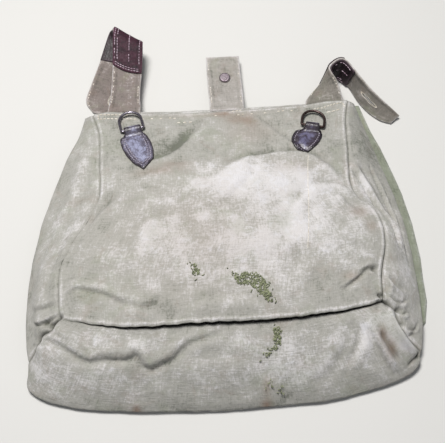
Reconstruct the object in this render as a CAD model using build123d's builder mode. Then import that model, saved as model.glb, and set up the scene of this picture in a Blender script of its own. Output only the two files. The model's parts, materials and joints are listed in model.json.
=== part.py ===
from build123d import *

# Canvas haversack with two belt loops and a hook strap, lying on its closed flap with its back up.
# Millimetres. +X is across the bag, +Y is towards its top edge, +Z is up. The bag is drawn about its own
# centreline, and at the end every piece is moved so that the origin is the middle of the underside.

import os
from math import cos, radians, sin

os.makedirs("parts", exist_ok=True)

# Cloth, leather, and the gaps that a seam or two stacked pieces leave between them
CANVAS = 1.2
LEATHER = 1.8
SEAM = 0.5
STACK_GAP = 0.1

# Cross-sections of the bag from its top edge to its bottom corners: y, half-width at the side seams,
# height of those seams, rise of the back above them, half-width of the whole bag, underside of the front
STATIONS = [
    (120, 118, 20.0, 1.0, 128, 8.6),
    (75, 115, 26.0, 4.0, 143, 8.6),
    (25, 113, 32.0, 9.0, 158, 10.6),
    (-5, 124, 35.0, 12.0, 164, 12.6),
    (-40, 136, 36.0, 12.0, 168, 12.6),
    (-92, 135, 36.0, 6.0, 169, 12.6),
    (-150, 128, 35.0, 3.0, 166, 12.6),
]
TOP_Y = STATIONS[0][0]
LEAN = 0.04  # share of its height by which the top lies to the right of the bottom
FOLD_RISE = 3.4  # the gussets' outer fold lies this far above the front
TUCK = 6.0  # how far the gussets reach under the bag
FOLD_THICK = 2.2
MOUTH_Y = 116.0  # end of the front panel at the mouth
HEM_WIDE = 11.0
HEM_SHORT = 5.0  # the mouth's hem ends this far before the front panel's sides
TOP_HEM_SHORT = 4.0

# Bottom: a seam and an outer fold that both dip towards the middle
CORNER_X = 135.0
SEAM_CORNER_Y, SEAM_MIDDLE_Y = -90.0, -104.0
SEAM_CORNER_Z, SEAM_MIDDLE_Z = 36.0, 41.0
FOLD_X = 166.0
FOLD_CORNER_Y, FOLD_MIDDLE_Y = -140.0, -158.0
BOTTOM_FOLD_Z = 7.0
BOTTOM_LIP = 24.0  # from the fold to the front panel
FOOT_IN = 7.0  # the line on which the bottom stands lies this far inside the fold
BOTTOM_PARTS = 12  # straight stretches that follow each curve of the bottom

# Flap, with its hinge line low in front of the mouth
FLAP_Z = 6.8
FLAP_SHIFT = 6.0  # it lies a little to the right of the bag
FLAP_OVER = 4.0  # and is this much wider on each side
FLAP_END_Y = -114.0
FLAP_CORNER = 30.0
HINGE_Y = 124.0
HINGE_GAP = 1.2
TURN_HALF = 126.0
TURN_OUTER = [(121.2, 16.6), (126.4, 12.8), (125.8, 9.4)]
TURN_INNER = [(124.6, 9.5), (125.2, 12.7), (121.0, 15.4)]

# D-rings and the leather tabs that hold them
WIRE_R = 1.25
WIRE_PLAY = 0.12
RING_HALF = 10.5
RING_SIDE = {"left": 9.5, "right": 6.5, "flap": 8.0}
RING_CORNER = 1.6
EYE_R = WIRE_R + WIRE_PLAY + LEATHER
RING_AT = {"left": (-79.0, 91.6), "right": (88.6, 86.4)}
RING_SPLAY = 12.0  # degrees that each ring leans outwards
TAB_NECK = {"left": 16.0, "right": 13.0, "flap": 16.0}
TAB_NECK_LONG = 4.0
# Outline of each tab's leaf: distance from the ring's bar, reach to the left, reach to the right
TAB_LEAF = {
    "left": [(7, 13.4, 11), (12, 14.1, 12.5), (20, 13.5, 14), (29, 11.5, 13.9), (38, 7.8, 12.1), (45, 4, 8)],
    "right": [(6.5, 15, 10), (11, 16.8, 9.8), (16, 17.9, 8.3), (21, 17.5, 6), (26, 14.7, 2.5), (30, 10.4, -1)],
    "flap": [(8, 12.4, 12.4), (14, 15.3, 15.3), (20, 15.0, 15.0), (27, 12.0, 12.0), (34, 6.6, 6.6)],
}
TAB_POINT = {"left": (0.0, 51.0), "right": (-5.6, 33.0), "flap": (0.0, 40.0)}
TAB_CLEAR = 1.0  # between a flat tab and the crowned back
FLAP_RING_X, FLAP_RING_Y = 74.0, 68.0

# Straps: each station is the strap's two edge points
HOOK_LEFT, HOOK_RIGHT = -6.0, 27.0
HOOK_STRAP_Z = 11.0
BASE_Y, BASE_Z = 124.5, 18.0
HOOK_STRAP = [
    ((HOOK_LEFT, BASE_Y, BASE_Z), (HOOK_RIGHT, BASE_Y, BASE_Z)),
    ((HOOK_LEFT, 136.0, 14.0), (HOOK_RIGHT, 136.0, 14.0)),
    ((HOOK_LEFT, 146.0, HOOK_STRAP_Z), (HOOK_RIGHT, 146.0, HOOK_STRAP_Z)),
    ((HOOK_LEFT, 184.0, HOOK_STRAP_Z), (HOOK_RIGHT, 184.0, HOOK_STRAP_Z)),
]
LEFT_LOOP = [
    ((-106, BASE_Y, BASE_Z), (-74, BASE_Y, BASE_Z)),
    ((-104, 150, 17), (-73, 148, 16)),
    ((-101, 176, 21), (-72, 166, 19)),
    ((-98, 205, 29), (-69, 188, 26)),
    ((-99, 212, 26), (-71, 195, 22)),
    ((-104, 210, 18), (-77, 194, 14)),
    ((-114, 185, 8), (-86, 176, 7)),
    ((-123, 162, 3), (-94, 153, 3)),
    ((-127, 144, 1), (-100, 137, 1)),
    ((-121, 132, 1), (-110, 130, 1)),
]
RIGHT_LOOP = [
    ((89, BASE_Y, BASE_Z), (121, BASE_Y, BASE_Z)),
    ((97, 138, 11), (119, 141, 23)),
    ((108, 151, 4), (114, 153, 29)),
    ((115, 158, 1), (118, 160, 29)),
    ((122, 159, 1), (124, 162, 29)),
    ((129, 153, 1), (131, 158, 28)),
    ((134, 145, 1), (138, 151, 26)),
    ((139, 136, 1), (147, 142, 24)),
    ((147, 124, 1), (157, 131, 20)),
    ((157, 113, 1), (168, 121, 14)),
    ((169, 104, 1), (176, 110, 6)),
]
LEATHER_SPAN = {"left": slice(2, 7), "right": slice(2, 6)}
LEATHER_SIDE = {"left": 1, "right": -1}
LEATHER_GAP = 0.3
BUTTONHOLE_LONG, BUTTONHOLE_WIDE = 17.0, 3.0
BUTTONHOLE_DEEP = 8.0
# Middle of each loop's buttonhole, the direction along it, and the direction through the strap
BUTTONHOLES = {
    "left": Plane(origin=(-110, 158, 3), x_dir=(-0.35, -1, 0), z_dir=(0, 0, 1)),
    "right": Plane(origin=(152, 128, 11), x_dir=(10, -12, -2), z_dir=(-0.5, -0.45, 0.6)),
}

# Hook and rivet on the hook strap
RIVET_X, RIVET_Y = 10.5, 158.0
RIVET_HEAD_R, RIVET_HEAD_TALL = 5.6, 2.0
RIVET_SHANK_R = 2.0
RIVET_TAIL_R, RIVET_TAIL_TALL = 3.2, 1.0
HOLE_PLAY = 0.1
HOOK_WIDE = 20.0
HOOK_PLATE = 1.5
HOOK_END_Y = 148.0
HOOK_TURN_Y = 181.0
HOOK_TIP_Y = 150.0
HOOK_BEND_R = 3.4

# Buttons
FRONT_BUTTON_R = 8.5
LOOP_BUTTON_R = 7.0
BUTTON_TALL = 2.6
THREAD_HOLE_R = 0.9
THREAD_HOLE_AT = 2.7
LOOP_BUTTONS = {"left": (-88.0, 158.0, 15.4), "right": (105.5, 136.0, 13.2)}
LOOP_BUTTONS_FACE = {"left": (0, 0, -1), "right": (0.49, -0.15, -0.86)}
FRONT_BUTTON_X, FRONT_BUTTON_Y = 82.0, -78.0

# Leather on the flap: a keeper strap on its outside and a closing tab on its inside, on each half
KEEPER_X, KEEPER_Y = 74.0, -38.0
KEEPER_WIDE, KEEPER_LONG = 18.0, 64.0
KEEPER_BRIDGE = 26.0
KEEPER_RAMP = 7.0
CLOSING_WIDE, CLOSING_LONG = 24.0, 52.0
CLOSING_Y = -64.0
CLOSING_THICK = 1.5

SIDES = {"left": -1, "right": 1}
made = {}


def keep(name, builder):
    """Keeps a finished piece under its name."""
    builder.part.label = name
    made[name] = builder.part


def middle(y):
    """x of the bag's centreline at y."""
    return LEAN * y


def seam_y(x):
    """y of the bottom seam."""
    return SEAM_MIDDLE_Y + (SEAM_CORNER_Y - SEAM_MIDDLE_Y) * (x / CORNER_X) ** 2


def fold_y(x):
    """y of the bottom's outer fold."""
    return FOLD_MIDDLE_Y + (FOLD_CORNER_Y - FOLD_MIDDLE_Y) * (x / FOLD_X) ** 2


def station_at(y):
    """The bag's cross-section at y, between the two stations beside it."""
    for upper, lower in zip(STATIONS, STATIONS[1:]):
        if y >= lower[0]:
            share = (y - lower[0]) / (upper[0] - lower[0])
            return tuple(low + share * (high - low) for high, low in zip(upper, lower))
    return STATIONS[-1]


def back_z(x, y):
    """Height of the back panel's outside."""
    _, half, height, rise, _, _ = station_at(y)
    return height + rise * (1 - ((x - middle(y)) / half) ** 2)


def crowned_sheet(rows, inset, depth):
    """A sheet under the back: its sides are inset from the side seams and its top is depth below them."""
    with BuildPart() as sheet:
        for y, seam, height, rise, _, _ in rows:
            x, half, z = middle(y), seam - inset, height - depth
            with BuildSketch(Plane.XZ.offset(-y)):
                with BuildLine():
                    ThreePointArc((x - half, z), (x, z + rise), (x + half, z))
                    Line((x + half, z), (x + half, z - CANVAS))
                    ThreePointArc((x + half, z - CANVAS), (x, z + rise - CANVAS), (x - half, z - CANVAS))
                    Line((x - half, z - CANVAS), (x - half, z))
                make_face()
        loft(ruled=True)
    return sheet


def beyond(curve, shift):
    """Everything past a curve of the bottom that is moved by shift towards the top."""
    reach, far, tall = 2 * FOLD_X, -300, 100
    end_y, middle_y = curve(reach) + shift, curve(0) + shift
    left, right = BOTTOM_X - reach, BOTTOM_X + reach
    with BuildPart() as waste:
        with BuildSketch(Plane.XY.offset(-tall / 2)):
            with BuildLine():
                Bezier((left, end_y), (BOTTOM_X, 2 * middle_y - end_y), (right, end_y))
                Polyline((right, end_y), (right, far), (left, far), (left, end_y))
            make_face()
        extrude(amount=2 * tall)
    return waste


BOTTOM_X = middle(FOLD_CORNER_Y)


def mitre(side, shift):
    """The upright plane of the seam between a side and the bottom, moved by shift towards the side."""
    along = Vector(side * (FOLD_X - CORNER_X), FOLD_CORNER_Y - SEAM_CORNER_Y, 0).normalized()
    outwards = Vector(-along.Y, along.X, 0) * side
    corner = Vector(BOTTOM_X + side * CORNER_X, SEAM_CORNER_Y, 0)
    return Plane(origin=corner + outwards * shift, z_dir=outwards)


# --- Bag ---------------------------------------------------------------------------------------------

past_seam = beyond(seam_y, SEAM / 2)
back_blank = crowned_sheet(STATIONS, 0, 0)
with BuildPart() as back_panel:
    add(back_blank.part)
    add(past_seam.part, mode=Mode.SUBTRACT)
keep("back_panel", back_panel)

top_hem_rows = [station_at(TOP_Y), station_at(TOP_Y - HEM_WIDE)]
keep("top_hem", crowned_sheet(top_hem_rows, TOP_HEM_SHORT, CANVAS + 3 * STACK_GAP))

for name, side in SIDES.items():
    with BuildPart() as side_gusset:
        for y, seam, height, _, outer, front in STATIONS:
            corners = [
                (seam + SEAM, height),
                (outer, front + FOLD_RISE),
                (outer - TUCK, front),
                (outer - TUCK, front + CANVAS),
                (outer - FOLD_THICK, front + FOLD_RISE),
                (seam + SEAM, height - CANVAS),
            ]
            with BuildSketch(Plane.XZ.offset(-y)):
                with BuildLine():
                    Polyline([(middle(y) + side * across, z) for across, z in corners], close=True)
                make_face()
        loft(ruled=True)
        split(bisect_by=mitre(side, SEAM / 2), keep=Keep.TOP)
    keep(f"side_gusset_{name}", side_gusset)

front_low = STATIONS[-1][5]
with BuildPart() as bottom_gusset:
    for step in range(BOTTOM_PARTS + 1):
        x = (2 * step / BOTTOM_PARTS - 1) * FOLD_X
        top_z = SEAM_MIDDLE_Z + (SEAM_CORNER_Z - SEAM_MIDDLE_Z) * (x / CORNER_X) ** 2
        inner, outer = seam_y(x) - SEAM / 2, fold_y(x)
        with BuildSketch(Plane.YZ.offset(BOTTOM_X + x)):
            with BuildLine():
                Polyline(
                    (inner, top_z),
                    (outer, BOTTOM_FOLD_Z),
                    (outer + FOOT_IN, 0),
                    (outer + BOTTOM_LIP, front_low),
                    (outer + BOTTOM_LIP, front_low + CANVAS),
                    (outer + FOOT_IN, CANVAS),
                    (outer + FOLD_THICK, BOTTOM_FOLD_Z),
                    (inner, top_z - CANVAS),
                    close=True,
                )
            make_face()
    loft(ruled=True)
    for side in SIDES.values():
        split(bisect_by=mitre(side, -SEAM / 2), keep=Keep.BOTTOM)
keep("bottom_gusset", bottom_gusset)

past_lip = beyond(fold_y, BOTTOM_LIP + SEAM)
with BuildPart() as front_panel:
    for y, _, _, _, outer, front in [station_at(MOUTH_Y)] + STATIONS[1:]:
        with BuildSketch(Plane.XZ.offset(-y)):
            with Locations((middle(y), front + CANVAS / 2)):
                Rectangle(2 * (outer - TUCK - SEAM), CANVAS)
    loft(ruled=True)
    add(past_lip.part, mode=Mode.SUBTRACT)
keep("front_panel", front_panel)

mouth_half = STATIONS[0][4] - TUCK - HEM_SHORT
with BuildPart() as mouth_hem:
    with BuildSketch(Plane.XY.offset(STATIONS[0][5] + CANVAS + STACK_GAP)):
        with Locations((middle(MOUTH_Y), MOUTH_Y - HEM_WIDE / 2)):
            Rectangle(2 * mouth_half, HEM_WIDE)
    extrude(amount=CANVAS)
keep("mouth_hem", mouth_hem)

# The flap's root comes over the top edge and down in front of the mouth
with BuildPart() as flap_turn:
    with BuildSketch(Plane.YZ.offset(middle(TOP_Y) - TURN_HALF)):
        with BuildLine():
            ThreePointArc(*TURN_OUTER)
            Line(TURN_OUTER[-1], TURN_INNER[0])
            ThreePointArc(*TURN_INNER)
            Line(TURN_INNER[-1], TURN_OUTER[0])
        make_face()
    extrude(amount=2 * TURN_HALF)
keep("flap_turn", flap_turn)


# --- D-rings and tabs --------------------------------------------------------------------------------


def on_back(x, y, turn, lift):
    """A plane that lies on the back at (x, y), turned about its normal and lifted off the back."""
    slope_x = (back_z(x + 1, y) - back_z(x - 1, y)) / 2
    slope_y = (back_z(x, y + 1) - back_z(x, y - 1)) / 2
    normal = Vector(-slope_x, -slope_y, 1).normalized()
    across = Vector(cos(radians(turn)), sin(radians(turn)), 0)
    across = (across - normal * across.dot(normal)).normalized()
    return Plane(origin=Vector(x, y, back_z(x, y)) + normal * lift, x_dir=across, z_dir=normal)


def across_bar(plane):
    """The plane through the middle of a ring's bar, square to the bar."""
    return Plane(origin=plane.origin, x_dir=plane.y_dir, z_dir=plane.x_dir)


def d_ring(plane, kind):
    """A wire D. Its straight bar is centred on the plane's origin, and its bow points along the plane's y."""
    bow_y = RING_CORNER + RING_SIDE[kind]
    bar_half = RING_HALF - RING_CORNER
    with BuildPart() as ring:
        with BuildLine(plane) as path:
            Line((0, 0), (bar_half, 0))
            JernArc((bar_half, 0), (1, 0), RING_CORNER, 90)
            Line((RING_HALF, RING_CORNER), (RING_HALF, bow_y))
            ThreePointArc((RING_HALF, bow_y), (0, bow_y + RING_HALF), (-RING_HALF, bow_y))
            Line((-RING_HALF, bow_y), (-RING_HALF, RING_CORNER))
            JernArc((-RING_HALF, RING_CORNER), (0, -1), RING_CORNER, 90)
            Line((-bar_half, 0), (0, 0))
        with BuildSketch(across_bar(plane)):
            Circle(WIRE_R)
        sweep(path=path.wires()[0])
    return ring


def ring_tab(plane, kind):
    """A pointed leather tab around a ring's bar. The plane's origin is on the bar's axis."""
    neck = TAB_NECK[kind] / 2
    across, far = TAB_POINT[kind]
    point = (across, -far)
    right_side = [(right, -away) for away, _, right in TAB_LEAF[kind]]
    left_side = [(-left, -away) for away, left, _ in reversed(TAB_LEAF[kind])]
    with BuildPart() as tab:
        with BuildSketch(plane.offset(-EYE_R)):
            with BuildLine():
                Polyline((-neck, -TAB_NECK_LONG), (-neck, 0), (neck, 0), (neck, -TAB_NECK_LONG))
                Spline((neck, -TAB_NECK_LONG), *right_side, point)
                Spline(point, *left_side, (-neck, -TAB_NECK_LONG))
            make_face()
        extrude(amount=LEATHER)
        with BuildSketch(across_bar(plane)):
            Circle(EYE_R)
        extrude(amount=neck, both=True)
        with BuildSketch(across_bar(plane)):
            Circle(WIRE_R + WIRE_PLAY)
        extrude(amount=2 * neck, both=True, mode=Mode.SUBTRACT)
    return tab


ring_planes = {}
for name, side in SIDES.items():
    ring_planes[name] = on_back(*RING_AT[name], -side * RING_SPLAY, EYE_R + TAB_CLEAR)
    keep(f"ring_{name}", d_ring(ring_planes[name], name))
    keep(f"ring_tab_{name}", ring_tab(ring_planes[name], name))


# --- Straps ------------------------------------------------------------------------------------------


def strap(stations, thick, lift=0.0):
    """A strap lofted from each station's thin rectangle to the next, moved by lift along its own normal."""
    edges = [(Vector(*start), Vector(*end)) for start, end in stations]
    middles = [(start + end) / 2 for start, end in edges]
    sections = []
    for place, (start, end) in enumerate(edges):
        along = middles[min(place + 1, len(edges) - 1)] - middles[max(place - 1, 0)]
        across = (end - start).normalized()
        normal = across.cross(along).normalized()
        plane = Plane(origin=middles[place] + normal * lift, x_dir=across, z_dir=normal.cross(across))
        sections.append((plane, (end - start).length))
    with BuildPart() as ribbon:
        for stretch in zip(sections, sections[1:]):
            for plane, width in stretch:
                with BuildSketch(plane):
                    Rectangle(width, thick)
            loft(ruled=True)
    return ribbon


upwards = (Align.CENTER, Align.CENTER, Align.MIN)


def button(at, facing, radius):
    """A round four-hole button. Its back is at a point, and its body stands out from there."""
    with BuildPart(Plane(origin=at, z_dir=facing)) as disc:
        Cylinder(radius, BUTTON_TALL, align=upwards)
        fillet(disc.edges().filter_by(GeomType.CIRCLE), BUTTON_TALL * 0.4)
        with PolarLocations(THREAD_HOLE_AT, 4):
            Cylinder(THREAD_HOLE_R, 4 * BUTTON_TALL, mode=Mode.SUBTRACT)
    return disc


def rivet_hole(height):
    """The hole of the hook's rivet through pieces near this height."""
    with BuildPart(Plane(origin=(RIVET_X, RIVET_Y, height))) as hole:
        Cylinder(RIVET_SHANK_R + HOLE_PLAY, 4 * CANVAS)
    return hole


hook_strap_blank = strap(HOOK_STRAP, CANVAS)
strap_hole = rivet_hole(HOOK_STRAP_Z)
with BuildPart() as hook_strap:
    add(hook_strap_blank.part)
    add(strap_hole.part, mode=Mode.SUBTRACT)
keep("hook_strap", hook_strap)

plate_z = HOOK_STRAP_Z - CANVAS / 2 - STACK_GAP - HOOK_PLATE / 2
arm_z = HOOK_PLATE / 2 + STACK_GAP
hook_hole = rivet_hole(plate_z)
with BuildPart() as belt_hook:
    with BuildSketch(Plane.YZ.offset(RIVET_X - HOOK_WIDE / 2)):
        with BuildLine():
            FilletPolyline(
                (HOOK_END_Y, plate_z),
                (HOOK_TURN_Y, plate_z),
                (HOOK_TURN_Y, arm_z),
                (HOOK_TIP_Y, arm_z),
                radius=HOOK_BEND_R,
            )
        trace(line_width=HOOK_PLATE)
    extrude(amount=HOOK_WIDE)
    add(hook_hole.part, mode=Mode.SUBTRACT)
keep("belt_hook", belt_hook)

head_z = HOOK_STRAP_Z + CANVAS / 2 + STACK_GAP
tail_z = plate_z - HOOK_PLATE / 2 - STACK_GAP
with BuildPart(Plane(origin=(RIVET_X, RIVET_Y, head_z))) as hook_rivet:
    Cylinder(RIVET_HEAD_R, RIVET_HEAD_TALL, align=upwards)
    fillet(hook_rivet.edges().filter_by(GeomType.CIRCLE).sort_by(Axis.Z)[-1], 0.8 * RIVET_HEAD_TALL)
    with Locations((0, 0, tail_z - head_z)):
        Cylinder(RIVET_SHANK_R, head_z - tail_z, align=upwards)
    with Locations((0, 0, tail_z - RIVET_TAIL_TALL - head_z)):
        Cylinder(RIVET_TAIL_R, RIVET_TAIL_TALL, align=upwards)
keep("hook_rivet", hook_rivet)

leather_lift = (CANVAS + LEATHER) / 2 + LEATHER_GAP
for name, stations in {"left": LEFT_LOOP, "right": RIGHT_LOOP}.items():
    with BuildPart(BUTTONHOLES[name]) as slot:
        Box(BUTTONHOLE_LONG, BUTTONHOLE_WIDE, BUTTONHOLE_DEEP)
    blank = strap(stations, CANVAS)
    with BuildPart() as loop_strap:
        add(blank.part)
        add(slot.part, mode=Mode.SUBTRACT)
    keep(f"loop_strap_{name}", loop_strap)
    leather = strap(stations[LEATHER_SPAN[name]], LEATHER, LEATHER_SIDE[name] * leather_lift)
    keep(f"loop_leather_{name}", leather)
    keep(f"loop_button_{name}", button(LOOP_BUTTONS[name], LOOP_BUTTONS_FACE[name], LOOP_BUTTON_R))


# --- Flap --------------------------------------------------------------------------------------------

flap_edges = [(y, outer + FLAP_OVER) for y, _, _, _, outer, _ in STATIONS if y > FLAP_END_Y + 2 * FLAP_CORNER]
flap_edges[0] = (HINGE_Y - HINGE_GAP, flap_edges[0][1] - FLAP_OVER)
flap_edges.append((FLAP_END_Y, flap_edges[-1][1] - FLAP_OVER))
with BuildPart() as flap_panel:
    with BuildSketch(Plane.XY.offset(FLAP_Z)):
        with BuildLine():
            right_edge = [(middle(y) + FLAP_SHIFT + half, y) for y, half in flap_edges]
            left_edge = [(middle(y) + FLAP_SHIFT - half, y) for y, half in flap_edges]
            Polyline(right_edge + left_edge[::-1], close=True)
        make_face()
    extrude(amount=CANVAS)
    fillet(flap_panel.edges().filter_by(Axis.Z).group_by(Axis.Y)[0], FLAP_CORNER)
keep("flap_panel", flap_panel)

# Flap rings hang from the outside of the flap, so their planes face down
flap_ring_planes = {}
button_z = STATIONS[-1][5]
for name, side in SIDES.items():
    flap_x = FLAP_SHIFT + side * FLAP_RING_X
    down = Plane(origin=(flap_x, FLAP_RING_Y, FLAP_Z - EYE_R), x_dir=(-1, 0, 0), z_dir=(0, 0, -1))
    flap_ring_planes[name] = down
    keep(f"flap_ring_{name}", d_ring(down, "flap"))
    keep(f"flap_ring_tab_{name}", ring_tab(down, "flap"))

    keeper_x = FLAP_SHIFT + side * KEEPER_X
    low, ramp_end, end = KEEPER_BRIDGE / 2, KEEPER_BRIDGE / 2 + KEEPER_RAMP, KEEPER_LONG / 2
    outline = [(-end, FLAP_Z), (-ramp_end, FLAP_Z), (-low, LEATHER), (low, LEATHER), (ramp_end, FLAP_Z)]
    outline += [(end, FLAP_Z), (end, FLAP_Z - LEATHER), (ramp_end, FLAP_Z - LEATHER), (low, 0), (-low, 0)]
    outline += [(-ramp_end, FLAP_Z - LEATHER), (-end, FLAP_Z - LEATHER)]
    with BuildPart() as flap_keeper:
        with BuildSketch(Plane.YZ.offset(keeper_x - KEEPER_WIDE / 2)):
            with BuildLine():
                Polyline([(KEEPER_Y + along, z) for along, z in outline], close=True)
            make_face()
        extrude(amount=KEEPER_WIDE)
    keep(f"flap_keeper_{name}", flap_keeper)

    button_x = side * FRONT_BUTTON_X
    with BuildPart() as closing_tab:
        with BuildSketch(Plane.XY.offset(FLAP_Z + CANVAS)):
            with Locations((button_x, CLOSING_Y)):
                SlotOverall(CLOSING_LONG, CLOSING_WIDE, rotation=90)
            with Locations((button_x, FRONT_BUTTON_Y)):
                SlotOverall(BUTTONHOLE_LONG, BUTTONHOLE_WIDE, rotation=90, mode=Mode.SUBTRACT)
        extrude(amount=CLOSING_THICK)
    keep(f"closing_tab_{name}", closing_tab)
    keep(f"front_button_{name}", button((button_x, FRONT_BUTTON_Y, button_z), (0, 0, -1), FRONT_BUTTON_R))


# --- Every piece in the bag's frame ------------------------------------------------------------------

whole = Compound(list(made.values())).bounding_box()
to_frame = Location((-whole.center().X, -whole.center().Y, -whole.min.Z))
for name, part in made.items():
    placed = part.moved(to_frame)
    placed.label = name
    export_step(placed, f"parts/{name}.step")
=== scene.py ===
"""Looks of an old canvas haversack on its closed flap: creased canvas, straps, leather and wire rings."""

import json
import math
import random

import bmesh
import bpy
import numpy as np
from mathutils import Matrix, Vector, kdtree, noise
from mathutils.bvhtree import BVHTree


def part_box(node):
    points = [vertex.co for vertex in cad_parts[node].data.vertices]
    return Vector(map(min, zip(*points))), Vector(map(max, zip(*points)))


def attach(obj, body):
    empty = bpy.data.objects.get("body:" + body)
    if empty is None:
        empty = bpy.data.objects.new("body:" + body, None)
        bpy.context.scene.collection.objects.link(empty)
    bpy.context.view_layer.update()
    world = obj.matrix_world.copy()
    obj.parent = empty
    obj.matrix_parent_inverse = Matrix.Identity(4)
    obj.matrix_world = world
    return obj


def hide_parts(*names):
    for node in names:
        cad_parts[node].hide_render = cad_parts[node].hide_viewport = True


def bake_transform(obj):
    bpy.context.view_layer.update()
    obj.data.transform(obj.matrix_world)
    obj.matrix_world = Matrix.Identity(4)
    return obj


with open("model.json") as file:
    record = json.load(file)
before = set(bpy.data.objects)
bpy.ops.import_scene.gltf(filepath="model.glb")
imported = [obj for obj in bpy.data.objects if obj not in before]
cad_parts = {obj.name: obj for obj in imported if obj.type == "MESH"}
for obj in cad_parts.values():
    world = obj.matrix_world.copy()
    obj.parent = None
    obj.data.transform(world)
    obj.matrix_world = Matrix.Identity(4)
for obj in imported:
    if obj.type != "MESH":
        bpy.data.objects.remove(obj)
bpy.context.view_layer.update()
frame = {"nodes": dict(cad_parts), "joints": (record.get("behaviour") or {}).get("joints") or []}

# Every place below is in millimetres about the bag's own centreline, as the CAD source draws it.
# The row's frame is the same one moved sideways, and these two CAD nodes say how far.
BACK_TOP_Y = 120.0
TURN_MIDDLE_X = 4.8
turn_low, turn_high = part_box("flap_turn")
ORIGIN = np.array([
    (turn_low.x + turn_high.x) / 2 - TURN_MIDDLE_X / 1000,
    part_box("back_panel")[1].y - BACK_TOP_Y / 1000,
    0.0,
])

CLOTH = 1.2
TINY = 1e-9


def metres(points):
    """Points of the drawing, in the row's frame."""
    return np.asarray(points, float) / 1000 + ORIGIN


# --- Camera, floor and light -------------------------------------------------------------------------

LOOK_AT = (0.0, 0.0, 15.0)
CAMERA_FAR = 0.7
CAMERA_TURN, CAMERA_RISE = -3.0, 65.0
CAMERA_LENS, SENSOR_WIDE = 62.9, 36.0


def make_camera():
    """Looks down from high above the bag's lower edge, a little from the left."""
    turn, rise = math.radians(CAMERA_TURN), math.radians(CAMERA_RISE)
    away = Vector((math.sin(turn) * math.cos(rise), -math.cos(turn) * math.cos(rise), math.sin(rise)))
    camera = bpy.data.objects.new("camera", bpy.data.cameras.new("camera"))
    bpy.context.collection.objects.link(camera)
    camera.location = Vector(metres(LOOK_AT)) + away * CAMERA_FAR
    camera.rotation_mode = "QUATERNION"
    camera.rotation_quaternion = (-away).to_track_quat("-Z", "Y")
    camera.data.sensor_width = SENSOR_WIDE
    camera.data.lens = CAMERA_LENS
    bpy.context.scene.camera = camera


def area_light(name, place, size, watts, colour):
    """A soft square lamp at a place, turned towards the bag."""
    lamp = bpy.data.lights.new(name, "AREA")
    lamp.size = size
    lamp.energy = watts
    lamp.color = colour
    light = bpy.data.objects.new(name, lamp)
    bpy.context.collection.objects.link(light)
    light.location = place
    light.rotation_mode = "QUATERNION"
    light.rotation_quaternion = (-Vector(place)).to_track_quat("-Z", "Y")


def make_studio():
    """A warm key lamp behind the bag, a weak cool one in front, and an even sky."""
    area_light("key", (-0.2, 0.24, 1.3), 0.42, 21.5, (1.0, 0.985, 0.96))
    area_light("fill", (0.6, -0.9, 1.3), 1.4, 1.6, (0.93, 0.96, 1.0))
    world = bpy.data.worlds.new("studio")
    world.use_nodes = True
    sky = world.node_tree.nodes["Background"].inputs
    sky["Color"].default_value = (0.80, 0.84, 0.90, 1)
    sky["Strength"].default_value = 0.2
    bpy.context.scene.world = world
    bpy.context.scene.view_settings.view_transform = "Standard"


# --- Materials ---------------------------------------------------------------------------------------


def linear(red, green, blue):
    """An 8-bit screen colour as the linear RGBA that nodes take."""
    screen = [value / 255 for value in (red, green, blue)]
    light = [value / 12.92 if value <= 0.04045 else ((value + 0.055) / 1.055) ** 2.4 for value in screen]
    return (*light, 1.0)


def linears(*colours):
    """Several 8-bit screen colours as linear RGBA."""
    return [linear(*colour) for colour in colours]


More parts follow.
